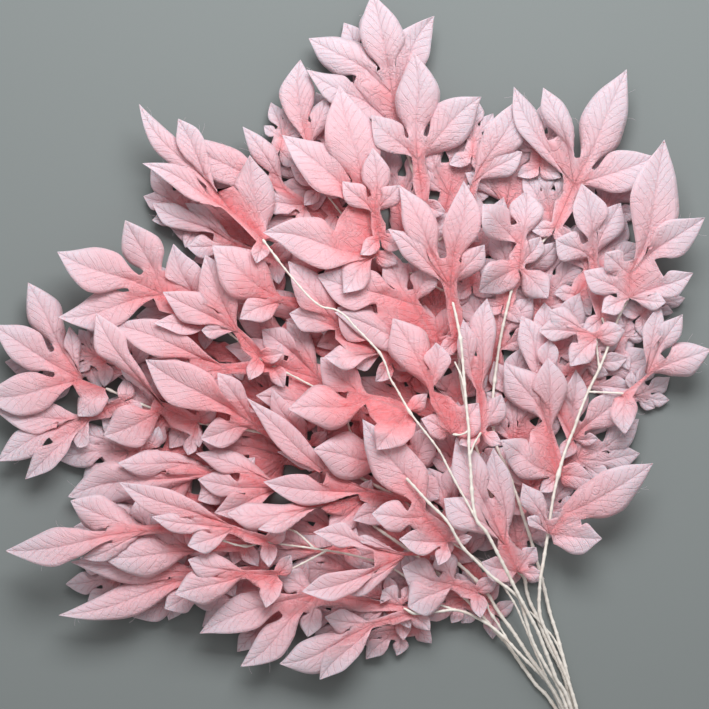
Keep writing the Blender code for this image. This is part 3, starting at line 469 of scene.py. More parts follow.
class Lobe:
    """One lobe of a leaf: a curved midrib from its root to its tip, and a width that swells and narrows."""

    def __init__(self, root: np.ndarray, on_hub: bool, tip: tuple, half_width: float, bend: float = 0.0,
                 is_ear: bool = False) -> None:
        """Lays out a lobe.

        Args:
            root: the plan point where its midrib starts.
            on_hub: whether that is the leaf's hub, and not its foot.
            tip: the plan point of its tip.
            half_width: the listed half width in millimetres.
            bend: how far the midrib bows to its left, as a share of its length.
            is_ear: whether it is one of the small round ears at the foot.
        """
        self.root = np.array(root, float)
        self.on_hub = on_hub
        self.tip = np.array(tip, float)
        self.listed = half_width
        self.is_ear = is_ear
        run = self.tip - self.root
        self.length = float(np.linalg.norm(run))
        self.across = np.array((-run[1], run[0]))
        self.control = (self.root + self.tip) / 2.0 + bend * self.across
        self.bow = CLOTH.bow * lasting_draw(self.tip[0], self.tip[1], 5.0)
        self.sway = CLOTH.sway * lasting_draw(self.tip[1], self.tip[0], 6.0)

    def axis(self, t: float) -> np.ndarray:
        """The point of the CAD leaf's midrib at share t of the lobe."""
        return (1 - t) ** 2 * self.root + 2 * t * (1 - t) * self.control + t * t * self.tip

    def side(self, t: float) -> np.ndarray:
        """The direction to the left of the midrib at share t."""
        run = unit(2 * (1 - t) * (self.control - self.root) + 2 * t * (self.tip - self.control))
        return np.array((-run[1], run[0]))

    def cloth_axis(self, t: float) -> np.ndarray:
        """The point of the fine leaf's midrib at share t: the CAD one with a slight bow of its own."""
        off = self.bow * 4.0 * t * (1.0 - t) + self.sway * math.sin(2.0 * math.pi * t)
        return self.axis(t) + off * self.across

    def cage_reach(self, t: float) -> float:
        """The half width of the CAD leaf at share t."""
        half_width = CAGE.fullness * self.listed
        if self.is_ear:
            return half_width * math.sqrt(max(1.0 - ((t - CAGE.ear_widest) / CAGE.ear_span) ** 2, 0.0))
        return half_width * max(1.0 - ((t - CAGE.widest) / CAGE.widest) ** 2, 0.0) ** CAGE.roundness

    def cloth_reach(self, t: float) -> float:
        """The half width of the fine leaf at share t: full in the middle, and drawn out to a sharp tip."""
        half_width = (CLOTH.ear_fullness if self.is_ear else CLOTH.fullness) * self.listed
        if t < CLOTH.widest:
            return half_width * max(1.0 - ((CLOTH.widest - t) / CLOTH.root_span) ** 2, 0.0) ** CLOTH.root_roundness
        share = (t - CLOTH.widest) / (1.0 - CLOTH.widest)
        return half_width * (1.0 - share ** CLOTH.tip_draw) * (1.0 - CLOTH.tip_hollow * share ** 2)


def lobes_of(leaf: LeafPlan) -> list:
    """The lobes of a leaf from its left side round to its right, with their ears."""
    foot, hub = np.array(leaf.foot, float), np.array(leaf.hub, float)
    heading = hub - foot
    found = []
    for entry in leaf.lobes:
        tip, half_width = np.array(entry[:2], float), entry[2]
        bend = entry[3] if len(entry) > 3 else 0.0
        on_hub = abs(turn_between(heading, tip - hub)) < math.radians(leaf.hub_turn)
        found.append(Lobe(hub if on_hub else foot, on_hub, tip, half_width, bend))
    for sign in leaf.ears.value:
        tip = foot + CAGE.ear_length * turned(unit(heading), sign * CAGE.ear_turn)
        found.append(Lobe(foot, False, tip, CAGE.ear_half_width, is_ear=True))

    def place_round(lobe: Lobe) -> float:
        """Where a lobe stands round the leaf: those on the foot stand outside those on the hub."""
        turn = turn_between(heading, lobe.tip - lobe.root)
        return -turn if lobe.on_hub else -turn - math.copysign(math.pi, turn)

    return sorted(found, key=place_round)


def notch(first: Lobe, second: Lobe) -> np.ndarray:
    """The point where two neighbouring lobes part."""
    angle = abs(turn_between(first.tip - first.root, second.tip - second.root)) / 2.0
    neck = CAGE.neck * CAGE.fullness * (first.listed + second.listed) / 2.0
    away = neck / max(math.sin(min(angle, math.pi / 2)), CAGE.least_part)
    away = min(max(away, CAGE.least_neck), 0.5 * min(first.length, second.length))
    return (first.axis(away / first.length) + second.axis(away / second.length)) / 2.0


def share_along(lobe: Lobe, point: np.ndarray) -> float:
    """The share of a lobe's length at which a point lies beside its midrib."""
    run = lobe.tip - lobe.root
    return float(np.clip(np.dot(point - lobe.root, run) / np.dot(run, run), 0.02, 0.6))


def nearest_axis(lobe: Lobe, point: np.ndarray) -> float:
    """How far a point lies from a lobe's midrib."""
    return min(np.linalg.norm(lobe.axis(t) - point) for t in np.linspace(0.0, 1.0, 15))


class Relief:
    """What pressing adds to the relaxed shape of one lobe: its midrib, veins, ruffles, and a curl of its own."""

    def __init__(self, lobe: Lobe) -> None:
        """Draws what sets this lobe apart from the others.

        Args:
            lobe: the lobe.
        """
        x, y = lobe.tip
        self.lobe = lobe
        self.curl = CLOTH.curl * lobe.listed * (0.35 + lasting_draw(x, y))
        self.phases = [math.pi * lasting_draw(x, y, side) for side in (1.0, 2.0)]
        self.roll = 0.6 * lasting_draw(y, x, 3.0)
        self.droop = 0.20 * lasting_draw(x, y, 7.0) - 0.10
        self.arch = 0.035 * lasting_draw(x, y, 8.0) + 0.012

    def wave(self, place: float, phase: float) -> float:
        """How far an edge waves out at a place of the midrib, as a share of the half width."""
        (slow, slow_rate), (quick, quick_rate) = CLOTH.slow_wave, CLOTH.quick_wave
        return slow * math.sin(slow_rate * place + phase) + quick * math.sin(quick_rate * place + 2.0 * phase)

    def vein(self, t: float, share: float) -> float:
        """The count of side veins from the root, at share t of the midrib and a share of the way to the edge."""
        reach = self.lobe.cloth_reach(t)
        slant = CLOTH.vein_slant * share ** CLOTH.vein_curve * min(reach / CLOTH.vein_reach, 1.2)
        return (t * self.lobe.length - slant) / CLOTH.vein_gap

    def height(self, t: float, u: float, share: float, across: float, phase: float) -> float:
        """The extra height of a point of the lobe.

        Args:
            t: the share of the midrib at which it lies.
            u: the share of the way from the row of the notches to the tip.
            share: how far it lies from the midrib to the edge.
            across: the same, below zero on the left.
            phase: where the ruffles of its edge begin.

        Returns:
            The height in millimetres.
        """
        reach = self.lobe.cloth_reach(t)
        vein = self.vein(t, share)
        off = abs(vein - round(vein)) * CLOTH.vein_gap
        height = CLOTH.puff * reach * math.sin(math.pi * share) + self.droop * reach * share ** 2
        height += self.arch * self.lobe.length * math.sin(math.pi * t)
        height -= CLOTH.shingle * across * share * (1.0 - 0.6 * t)
        height -= CLOTH.crease * math.exp(-(share * reach / CLOTH.crease_width) ** 2) * (1.0 - 0.5 * t)
        height -= CLOTH.vein_depth * math.exp(-(off / CLOTH.vein_width) ** 2) * (1.0 - share ** 3) * (share > 0.0)
        height += CLOTH.ruffle * reach * share ** 2 * math.sin(2.0 * math.pi * (CLOTH.ruffles * t) + phase)
        height += 0.06 * reach * self.roll * across
        height *= ease(u / 0.16)
        return height + self.curl * max(t - 0.5, 0.0) ** 2 * 4.0


@dataclass(frozen=True)
class LobeRow:
    """One row of points across a lobe."""

    lobe: int  # the lobe's number
    u: float  # share of the way from the row of the notches to the tip
    t: float  # share of the midrib
    blend: dict  # the control rows that it hangs from, and the share of each
    middles: list  # the control points of those rows on the midrib
    relief: Relief


class CadHeights:
    """The heights of a CAD node's points, found by their place in plan."""

    def __init__(self, node: bpy.types.Object, shift: np.ndarray) -> None:
        """Reads the node's points.

        Args:
            node: the CAD node's object.
            shift: the plan offset from the layout tables to the CAD frame, in millimetres.
        """
        count = len(node.data.vertices)
        points = np.zeros(3 * count)
        node.data.vertices.foreach_get("co", points)
        points = points.reshape(-1, 3) / MM
        self.plan = points[:, :2] - shift
        self.height = points[:, 2]

    def at(self, place: np.ndarray, reach: float) -> float:
        """The middle height of the node near a plan place.

        Args:
            place: the plan point in millimetres.
            reach: how far round it the node's points count.

        Returns:
            The height half way between the lowest and the highest of those points.
        """
        away = np.linalg.norm(self.plan - place, axis=1)
        near = self.height[away < max(reach, away.min() + 0.05)]
        return float(near.min() + near.max()) / 2.0


class LeafNet:
    """The fine net of a leaf: its points in plan, what their heights come from, its faces, and its attributes."""

    SPINE_STEPS = 8

    def __init__(self, leaf: LeafPlan) -> None:
        """Lays the net of a leaf in plan.

        Args:
            leaf: the leaf's place in the layout.
        """
        self.leaf = leaf
        self.places, self.faces = [], []
        self.along, self.across, self.vein, self.lobe_of = [], [], [], []
        self.height_from = []  # for each point, its control points and the share of each
        self.detail = []
        self.notch_points, self.spokes = {}, {}
        self.foot, self.hub = np.array(leaf.foot, float), np.array(leaf.hub, float)
        self.spine = float(np.linalg.norm(self.hub - self.foot))
        self.lobes = lobes_of(leaf)
        self.lay_controls()
        self.lay_fine()

    def lay_controls(self) -> None:
        """Finds the plan places of the CAD leaf's own points: its foot, hub, notches, rows and tips."""
        self.controls = [self.foot, self.hub]
        outer = []
        for lobe, sign in ((self.lobes[0], 1.0), (self.lobes[-1], -1.0)):
            outer.append(lobe.root + CAGE.foot_half_width * turned(unit(lobe.tip - lobe.root), sign * CAGE.foot_turn))
        notches = [outer[0]] + [notch(a, b) for a, b in zip(self.lobes, self.lobes[1:])] + [outer[1]]
        self.notches = list(range(2, 2 + len(notches)))
        self.controls += notches
        self.rows = []
        for index, lobe in enumerate(self.lobes):
            shares = [share_along(lobe, notches[index + k]) for k in range(2)]
            chain = []
            for row in (CAGE.ear_rows if lobe.is_ear else CAGE.rows):
                places = [share + (1.0 - share) * row for share in shares]
                first = len(self.controls)
                self.controls.append(lobe.axis(sum(places) / 2.0))
                for place, sign in zip(places, (1.0, -1.0)):
                    reach = self.clear_reach(index, lobe.cage_reach(place), lobe.axis(place))
                    self.controls.append(lobe.axis(place) + sign * reach * lobe.side(place))
                chain.append((row, first))
            self.controls.append(lobe.tip)
            self.rows.append((shares, chain, len(self.controls) - 1))

    def midribs_beside(self, index: int, place: np.ndarray) -> list:
        """How far a place lies from the midrib of each lobe beside a lobe."""
        return [nearest_axis(self.lobes[other], place) for other in (index - 1, index + 1)
                if 0 <= other < len(self.lobes)]

    def clear_reach(self, index: int, reach: float, place: np.ndarray) -> float:
        """The half width of the CAD lobe at a place of its midrib, held back from the midribs beside it."""
        held = [max(0.5 * away - CAGE.gap, CAGE.narrowest) for away in self.midribs_beside(index, place)]
        return min([reach, *held])

    def cloth_half_width(self, index: int, free: float, place: np.ndarray, share: float) -> float:
        """The half width of a fine lobe, eased round the place where the lobes beside it begin to hold it back.

        Args:
            index: the lobe's number.
            free: the half width that it would have alone, in millimetres.
            place: a point of its midrib.
            share: how far it may reach towards the midribs beside it.

        Returns:
            The half width in millimetres.
        """
        inverse = max(free, 0.05) ** -CLOTH.easing
        for away in self.midribs_beside(index, place):
            inverse += max(share * away, CAGE.narrowest) ** -CLOTH.easing
        return inverse ** (-1.0 / CLOTH.easing)

    def add(self, place: np.ndarray, weights: dict, along: float = 0.0, across: float = 0.0, vein: float = 0.0,
            lobe: int = -1, detail: float = 0.0) -> int:
        """Adds a point.

        Args:
            place: its plan place.
            weights: the control points that give its height, and the share of each.
            along: how far it lies towards the lobe's tip, from 0 to 1.
            across: how far it lies towards the lobe's edge, from -1 on the left to 1 on the right.
            vein: its count of side veins from the lobe's root.
            lobe: the number of its lobe, or -1.
            detail: extra height for creases and veins, in millimetres.

        Returns:
            The point's number.
        """
        self.places.append(np.array(place, float))
        self.height_from.append(weights)
        self.along.append(along)
        self.across.append(across)
        self.vein.append(vein)
        self.lobe_of.append(lobe)
        self.detail.append(detail)
        return len(self.places) - 1

    def lay_fine(self) -> None:
        """Lays the fine points and faces over the whole leaf."""
        foot_point, hub_point = self.add(self.foot, {0: 1.0}), self.add(self.hub, {1: 1.0})
        for index, lobe in enumerate(self.lobes):
            self.lay_lobe(index, self.spoke(lobe.on_hub, index), self.spoke(lobe.on_hub, index + 1))
        spine_points = [foot_point]
        for step in range(1, self.SPINE_STEPS):
            share = step / self.SPINE_STEPS
            spine_points.append(self.add(self.foot + share * (self.hub - self.foot), {0: 1.0 - share, 1: share}))
        spine_points.append(hub_point)
        for index, (lobe, after) in enumerate(zip(self.lobes, self.lobes[1:]), 1):
            if lobe.on_hub != after.on_hub:
                self.lay_wing(self.spoke(False, index), self.spoke(True, index), spine_points, after.on_hub)

    def web_vein(self, run: float, out: float) -> float:
        """The count of side veins in the web, a run along the spine and a share of the way out to a notch."""
        return (run - 0.5 * CLOTH.vein_slant * out) / CLOTH.vein_gap

    def spoke(self, on_hub: bool, number: int) -> list:
        """The points from the hub, or from the foot, to a notch: made once and shared by the lobes beside it."""
        key = (on_hub, number)
        if key not in self.spokes:
            root, end = int(on_hub), self.notches[number]
            if number not in self.notch_points:
                self.notch_points[number] = self.add(self.controls[end], {end: 1.0}, CLOTH.web_along, 1.0)
            line = [root]
            for share in CLOTH.columns[:-1]:
                place = self.controls[root] + share * (self.controls[end] - self.controls[root])
                line.append(self.add(place, {root: 1.0 - share, end: share}, CLOTH.web_along * share, share,
                                     self.web_vein(self.spine * on_hub, share)))
            self.spokes[key] = line + [self.notch_points[number]]
        return self.spokes[key]

    def lay_wing(self, foot_line: list, hub_line: list, spine_points: list, on_left: bool) -> None:
        """Lays the web of cloth between the spine and the notch beside it.

        Args:
            foot_line: the points from the foot to the notch.
            hub_line: the points from the hub to the notch.
            spine_points: the points from the foot to the hub.
            on_left: whether the web lies on the left of the spine.
        """
        before = spine_points
        last = len(foot_line) - 1
        for column in range(1, last + 1):
            if column == last:
                line = [foot_line[last]] * len(spine_points)
            else:
                line = [foot_line[column]]
                for step in range(1, self.SPINE_STEPS):
                    share = step / self.SPINE_STEPS
                    start, end = foot_line[column], hub_line[column]
                    weights = {}
                    for source, part in ((start, 1.0 - share), (end, share)):
                        for control, weight in self.height_from[source].items():
                            weights[control] = weights.get(control, 0.0) + part * weight
                    out = CLOTH.columns[column - 1]
                    line.append(self.add((1 - share) * self.places[start] + share * self.places[end], weights,
                                         CLOTH.web_along * out, out, self.web_vein(self.spine * share, out)))
                line.append(hub_line[column])
            for a, b, c, d in zip(before, before[1:], line[1:], line):
                face = (a, b, c) if c == d else (a, b, c, d)
                self.faces.append(face if on_left else face[::-1])
            before = line

    def lay_lobe(self, index: int, left_spoke: list, right_spoke: list) -> None:
        """Lays the fine rows of one lobe.

        Args:
            index: the lobe's number.
            left_spoke: the points from its root to the notch on its left.
            right_spoke: the points from its root to the notch on its right.
        """
        lobe = self.lobes[index]
        shares, chain, tip_control = self.rows[index]
        count = max(5, int(round(lobe.length / CLOTH.row_gap)))
        knots = [0.0, *(row for row, _ in chain), 1.0]
        middles, lefts, rights = ([start, *(first + place for _, first in chain), tip_control] for place, start in
                                  enumerate((int(lobe.on_hub), self.notches[index], self.notches[index + 1])))
        relief = Relief(lobe)
        before = left_spoke[::-1] + right_spoke[1:]
        for step in range(1, count):
            u = step / count
            places = [share + (1.0 - share) * u for share in shares]
            t = sum(places) / 2.0
            row = LobeRow(index, u, t, self.soft_weights(u, knots), middles, relief)
            middle = self.point_of(row, lobe.cloth_axis(t), None, 0.0, 0.0, 0.0)
            toward = 0.5 + (CLOTH.overlap - 0.5) * float(ease((u - 0.05) / 0.3))
            sides = []
            for place, sign, edges, phase in zip(places, (1.0, -1.0), (lefts, rights), relief.phases):
                reach = self.cloth_half_width(index, lobe.cloth_reach(place), lobe.axis(place), toward)
                reach *= 1.0 + relief.wave(place, phase) * ease(u / 0.3)
                edge = lobe.cloth_axis(place) + sign * reach * lobe.side(place)
                sides.append([self.point_of(row, (1.0 - share) * lobe.cloth_axis(t) + share * edge, edges, share,
                                            -sign * share, phase) for share in CLOTH.columns])
            line = sides[0][::-1] + [middle] + sides[1]
            self.faces += list(zip(before, before[1:], line[1:], line))
            before = line
        tip = self.add(lobe.tip, {tip_control: 1.0}, 1.0, 0.0, lobe.length / CLOTH.vein_gap, index, relief.curl)
        self.faces += [(a, b, tip) for a, b in zip(before, before[1:])]

    @staticmethod
    def soft_weights(u: float, knots: list) -> dict:
        """The shares of a lobe's control rows at share u, eased so that the lobe bends without a kink."""
        weights = {}
        for offset in np.linspace(-0.16, 0.16, 9) * min(1.0, 4.0 * u, 4.0 * (1.0 - u)):
            place = min(max(u + offset, 0.0), 1.0)
            upper = max(1, next((k for k, knot in enumerate(knots) if knot >= place), len(knots) - 1))
            part = (place - knots[upper - 1]) / (knots[upper] - knots[upper - 1])
            weights[upper - 1] = weights.get(upper - 1, 0.0) + (1.0 - part) / 9.0
            weights[upper] = weights.get(upper, 0.0) + part / 9.0
        return weights

    def point_of(self, row: LobeRow, at: np.ndarray, edges: list | None, share: float, across: float, phase: float
                 ) -> int:
        """Adds a point of a lobe.

        Args:
            row: the row that it belongs to.
            at: its plan place.
            edges: the control points of its side's edge, or None on the midrib.
            share: how far it lies from the midrib to the edge.
            across: the same, below zero on the left.
            phase: where the ruffles of its edge begin.

        Returns:
            The point's number.
        """
        weights = {}
        for knot, part in row.blend.items():
            weights[row.middles[knot]] = weights.get(row.middles[knot], 0.0) + part * (1.0 - share)
            if edges is not None:
                weights[edges[knot]] = weights.get(edges[knot], 0.0) + part * share
        return self.add(at, weights, row.t, across, row.relief.vein(row.t, share), row.lobe,
                        row.relief.height(row.t, row.u, share, across, phase))

    def control_heights(self, cad: CadHeights) -> np.ndarray:
        """The heights of the control points, read from the CAD leaf."""
        return np.array([cad.at(place, 0.9) for place in self.controls])

    def relaxed_controls(self) -> np.ndarray:
        """The heights of the control points of a low leaf: it rises from the height of its foot, then arches over."""
        start = CLOTH.air + CLOTH.low_foot
        runs = [float(np.linalg.norm(place - self.foot)) for place in self.controls]
        longest = max(runs)
        heights = []
        for number, run in enumerate(runs):
            heights.append(start + CLOTH.rise * run * (1.0 - 0.7 * run / longest) + 0.8 * lasting_draw(number, run))
        return np.array(heights)

    def heights(self, controls: np.ndarray) -> np.ndarray:
        """The relaxed heights of all fine points, for given heights of the control points."""
        return np.array([sum(controls[control] * weight for control, weight in weights.items())
                         for weights in self.height_from]) + np.array(self.detail)

    def neighbours(self) -> tuple:
        """The ends of every edge of the net, each way round."""
        edges = {edge for face in self.faces for edge in zip(face, face[1:] + face[:1])}
        edges |= {(end, start) for start, end in edges}
        pairs = np.array(sorted(edges))
        return pairs[:, 0], pairs[:, 1]


class HeightMap:
    """The height of the pile so far, on a square grid seen from above."""

    CELL = 1.5
    LOW = np.array((-430.0, -610.0))
    SIZE = (570, 710)

    def __init__(self) -> None:
        """Starts with a bare floor."""
        self.height = np.zeros(self.SIZE)

    def cells(self, places: np.ndarray) -> np.ndarray:
        """The grid cells under plan places."""
        cells = np.floor((np.asarray(places) - self.LOW) / self.CELL).astype(int)
        return np.clip(cells, 1, np.array(self.SIZE) - 2)

    def under(self, places: np.ndarray) -> np.ndarray:
        """The highest of the cells at and right round each plan place."""
        cells = self.cells(places)
        highest = np.zeros(len(cells))
        for i in (-1, 0, 1):
            for j in (-1, 0, 1):
                highest = np.maximum(highest, self.height[cells[:, 0] + i, cells[:, 1] + j])
        return highest

    def raise_to(self, places: np.ndarray, heights: np.ndarray) -> None:
        """Raises the cells under places to heights."""
        cells = self.cells(places)
        np.maximum.at(self.height, (cells[:, 0], cells[:, 1]), heights)


class Pile:
    """What has been laid so far: a height map of everything, and one of the leaves alone."""

    def __init__(self) -> None:
        """Starts with a bare floor."""
        self.everything = HeightMap()
        self.leaves = HeightMap()


class ClothLeaf:
    """One pressed cloth leaf, over its CAD node where it has one."""

    LIFT_SPREAD = 16.0  # how far, in millimetres, a lift carries over the cloth
    LIFT_POWER = 20  # the higher, the closer a lift is to the greatest that any sample asks for
    EASE_ROUNDS = 3
    FACE_SAMPLES = ((0.5, 0.5, 0.0, 0.0), (0.0, 0.5, 0.5, 0.0), (0.25, 0.25, 0.25, 0.25),
                    (0.5, 0.0, 0.0, 0.5), (0.0, 0.0, 0.5, 0.5))

    def __init__(self, plan: LeafPlan, material: bpy.types.Material, shift: np.ndarray) -> None:
        """Takes the leaf's plan.

        Args:
            plan: the leaf's place in the layout.
            material: the cloth.
            shift: the plan offset from the layout tables to the CAD frame, in millimetres.
        """
        self.plan = plan
        self.material = material
        self.shift = shift
        self.net = LeafNet(plan)

    def settle(self, pile: Pile, nodes: dict) -> None:
        """Lays the leaf on the pile, and adds it to the pile.

        Args:
            pile: what has been laid so far.
            nodes: the CAD nodes by name.
        """
        net = self.net
        places = np.array(net.places)
        if self.plan.in_cad:
            controls = net.control_heights(CadHeights(nodes[self.plan.name], self.shift))
        else:
            controls = net.relaxed_controls()
        z = net.heights(controls)
        clear = CLOTH.air + CLOTH.thickness / 2.0
        quads = np.array([face for face in net.faces if len(face) == 4])
        samples = np.vstack((places, places[quads].mean(1)))
        needed = pile.everything.under(samples) + clear
        here = np.concatenate((z, z[quads].mean(1)))
        z = z + self.spread(samples, np.maximum(needed - here, 0.0), places)
        starts, ends = net.neighbours()
        counts = np.maximum(np.bincount(starts, minlength=len(z)), 1)
        floor = pile.everything.under(places) + clear
        detail = np.array(net.detail)
        for _ in range(self.EASE_ROUNDS):
            mean = np.bincount(starts, weights=(z - detail)[ends], minlength=len(z)) / counts
            z = np.maximum(0.5 * z + 0.5 * (mean + detail), floor)
        self.z = z = np.maximum(z, clear + 0.1)
        for level in (pile.everything, pile.leaves):
            level.raise_to(places, z + CLOTH.thickness / 2.0)
            for weights in np.array(self.FACE_SAMPLES):
                level.raise_to((places[quads] * weights[None, :, None]).sum(1),
                               (z[quads] * weights[None, :]).sum(1) + CLOTH.thickness / 2.0)

    def spread(self, samples: np.ndarray, short: np.ndarray, places: np.ndarray) -> np.ndarray:
        """A smooth lift that is nowhere less than what the samples are short of.

        Args:
            samples: plan places.
            short: how far each is below what it must clear.
            places: the plan places of the net's points.

        Returns:
            The lift of each point of the net.
        """
        lacking = short > 0.02
        if not lacking.any():
            return np.zeros(len(places))
        from_places, amount = samples[lacking], short[lacking]
        most = amount.max()
        away = ((places[:, None, :] - from_places[None, :, :]) ** 2).sum(2)
        asked = np.exp(-away / (2.0 * self.LIFT_SPREAD ** 2)) * amount[None, :] / most
        return most * ((asked ** self.LIFT_POWER).sum(1)) ** (1.0 / self.LIFT_POWER)

    def build(self) -> bpy.types.Object:
        """Makes the leaf's object, with the cloth's thickness.

        Returns:
            The finished object.
        """
        net = self.net
        mesh = bpy.data.meshes.new(self.plan.name)
        points = np.column_stack(((np.array(net.places) + self.shift) * MM, self.z * MM))
        mesh.from_pydata(points.tolist(), [], net.faces)
        # Painted shade: the nearer a leaf's hub lies to the middle of the pile, the deeper and redder its colour,
        # standing for shade and bounced light; the rest is its dyeing and a random tone of its own.
        inner_shade = max(1.0 - float(np.linalg.norm(net.hub - np.array(SHADE_HEART))) / SHADE_REACH, 0.0)
        tone_and_shade = 0.39 + self.plan.dye_and_shade.value + 0.46 * inner_shade + 0.07 * lasting_draw(*self.plan.hub)
        for name, values in (("along", net.along), ("across", net.across), ("vein", net.vein),
                             ("tone_and_shade", [tone_and_shade] * len(net.places))):
            add_values(mesh, name, values)
        mesh.update()
        mesh.materials.append(self.material)
        leaf = new_object(f"cloth_{self.plan.name}", mesh)
        select_only(leaf)
        wall = leaf.modifiers.new("thickness", "SOLIDIFY")
        wall.thickness = CLOTH.thickness * MM
        wall.offset = 0.0
        bpy.ops.object.modifier_apply(modifier=wall.name)
        bpy.ops.object.shade_smooth()
        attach(leaf, BODY)
        if self.plan.in_cad:
            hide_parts(self.plan.name)
        return leaf


@dataclass(frozen=True)
class WireSizes:
    """Sizes of the coated wires, in millimetres."""

    radius: float = 1.9
    end_radius: float = 1.25
    twig_radius: float = 1.05
    twig_end_radius: float = 0.85
    cage_step: float = 13.0
    fine_step: float = 1.6
    lead: float = 18.0  # straight run out of the tape
    held: int = 100  # fine points that the tape holds down
    held_twig: int = 4
    sleeve_inner: float = 7.05
    sleeve_wall: float = 0.9
    sleeve_inset: float = 3.0
    knuckle_gap: float = 11.5
    knuckle_rise: float = 0.5
    knuckle_width: float = 1.3
    first_knuckle: float = 155.0  # from the wire's lower end, clear of the tape
    tie_rise: float = 0.9
    tie_width: float = 3.4
    tie_reach: float = 9.0
    tip_taper: tuple = (0.92, 0.75, 0.45)
    air: float = 0.8


WIRE = WireSizes()


class WireStem:
    """One coated wire with its twigs, over its CAD node."""

    EASE_ROUNDS = 160

    def __init__(self, plan: StemPlan, material: bpy.types.Material, shift: np.ndarray) -> None:
        """Takes the wire's plan.

        Args:
            plan: the wire's place in the layout.
            material: its coating.
            shift: the plan offset from the layout tables to the CAD frame, in millimetres.
        """
        self.plan = plan
        self.material = material
        self.shift = shift
        self.wires = []

    def cage_lines(self) -> list:
        """The plan lines of the wire and its twigs as the CAD part has them, each with its radii."""
        handle = np.array(HANDLE_END) - np.array(HANDLE_MOUTH)
        along = unit(handle)
        offset = self.plan.slot[0] * np.array((-along[1], along[0]))
        inner = np.array(HANDLE_END) - WIRE.sleeve_inset * along + offset
        mouth = np.array(HANDLE_MOUTH) + offset
        free = smooth_line([mouth, mouth - WIRE.lead * along, *self.plan.route], WIRE.cage_step)
        main = np.vstack((inner, (inner + mouth) / 2.0, free))
        lines = [(main, np.linspace(WIRE.radius, WIRE.end_radius, len(main)))]
        for route in self.plan.twigs:
            start = np.array(route[0], float)
            joint = min((place for line, _ in lines for place in line), key=lambda at: np.linalg.norm(at - start))
            line = smooth_line([joint, *route[1:]], WIRE.cage_step)
            lines.append((line, np.linspace(WIRE.twig_radius, WIRE.twig_end_radius, len(line))))
        return lines

    def settle(self, pile: Pile, nodes: dict) -> None:
        """Lays the wires on the pile at the heights of the CAD node, and eases them over the cloth.

        Args:
            pile: what has been laid so far.
            nodes: the CAD nodes by name.
        """
        cad = CadHeights(nodes[self.plan.name], self.shift)
        for number, (line, radii) in enumerate(self.cage_lines()):
            height = np.array([cad.at(place, radius + 0.7) for place, radius in zip(line, radii)])
            fine = smooth_line(np.column_stack((line, height, radii)), WIRE.fine_step)
            plan, z, radii = fine[:, :2], fine[:, 2], fine[:, 3]
            floor = pile.leaves.under(plan) + WIRE.air + radii
            floor[pile.leaves.under(plan) < 0.01] = 0.0
            lift = np.maximum(floor - z, 0.0)
            lift[:WIRE.held_twig if number else WIRE.held] = 0.0
            eased = lift.copy()
            for _ in range(self.EASE_ROUNDS):
                eased[1:-1] = np.maximum(lift[1:-1], 0.5 * (eased[:-2] + eased[2:]))
                eased[-1] = max(lift[-1], eased[-2])
            self.wires.append((plan, z + eased, radii))
            run = np.gradient(plan, axis=0)
            side = np.column_stack((-run[:, 1], run[:, 0]))
            side /= np.maximum(np.linalg.norm(side, axis=1, keepdims=True), 1e-9)
            for offset in (-0.6, 0.0, 0.6):
                pile.everything.raise_to(plan + offset * radii[:, None] * side,
                                         z + eased + radii * math.sqrt(1.0 - offset ** 2))

    def build(self, feet: np.ndarray) -> bpy.types.Object:
        """Makes the wires' object: tapered tubes with knuckles, thickened where a leaf is tied.

        Args:
            feet: the plan places of all leaf feet.

        Returns:
            The finished object.
        """
        parts = []
        for number, (plan, z, radii) in enumerate(self.wires):
            along = lengths_along(plan)
            start = 9.0 * lasting_draw(plan[-1][0], number)
            off = (along - start + WIRE.knuckle_gap / 2.0) % WIRE.knuckle_gap - WIRE.knuckle_gap / 2.0
            radii = radii * (1.0 + 0.035 * np.sin(along / 3.1) + 0.03 * np.sin(along / 7.7 + number))
            bare = (along > WIRE.first_knuckle) | (number > 0)
            radii = radii + WIRE.knuckle_rise * np.exp(-(off / WIRE.knuckle_width) ** 2) * bare
            tie = np.min(np.linalg.norm(plan[:, None, :] - feet[None, :, :], axis=2), axis=1)
            radii = radii + WIRE.tie_rise * np.exp(-(tie / WIRE.tie_width) ** 2) * (tie < WIRE.tie_reach)
            radii[-len(WIRE.tip_taper):] *= np.array(WIRE.tip_taper)
            tube = new_tube(f"{self.plan.name}_{number}", 1.0, 2)
            tube.use_fill_caps = True
            add_line(tube, np.column_stack((plan + self.shift, z)), radii)
            parts.append(new_object(tube.name, tube))
        select_only(*parts)
        bpy.ops.object.convert(target="MESH")
        bpy.ops.object.join()
        wire = bpy.context.view_layer.objects.active
        wire.name = wire.data.name = f"wire_{self.plan.name}"
        wire.data.materials.clear()
        wire.data.materials.append(self.material)
        bpy.ops.object.shade_smooth()
        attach(wire, BODY)
        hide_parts(self.plan.name)
        return wire


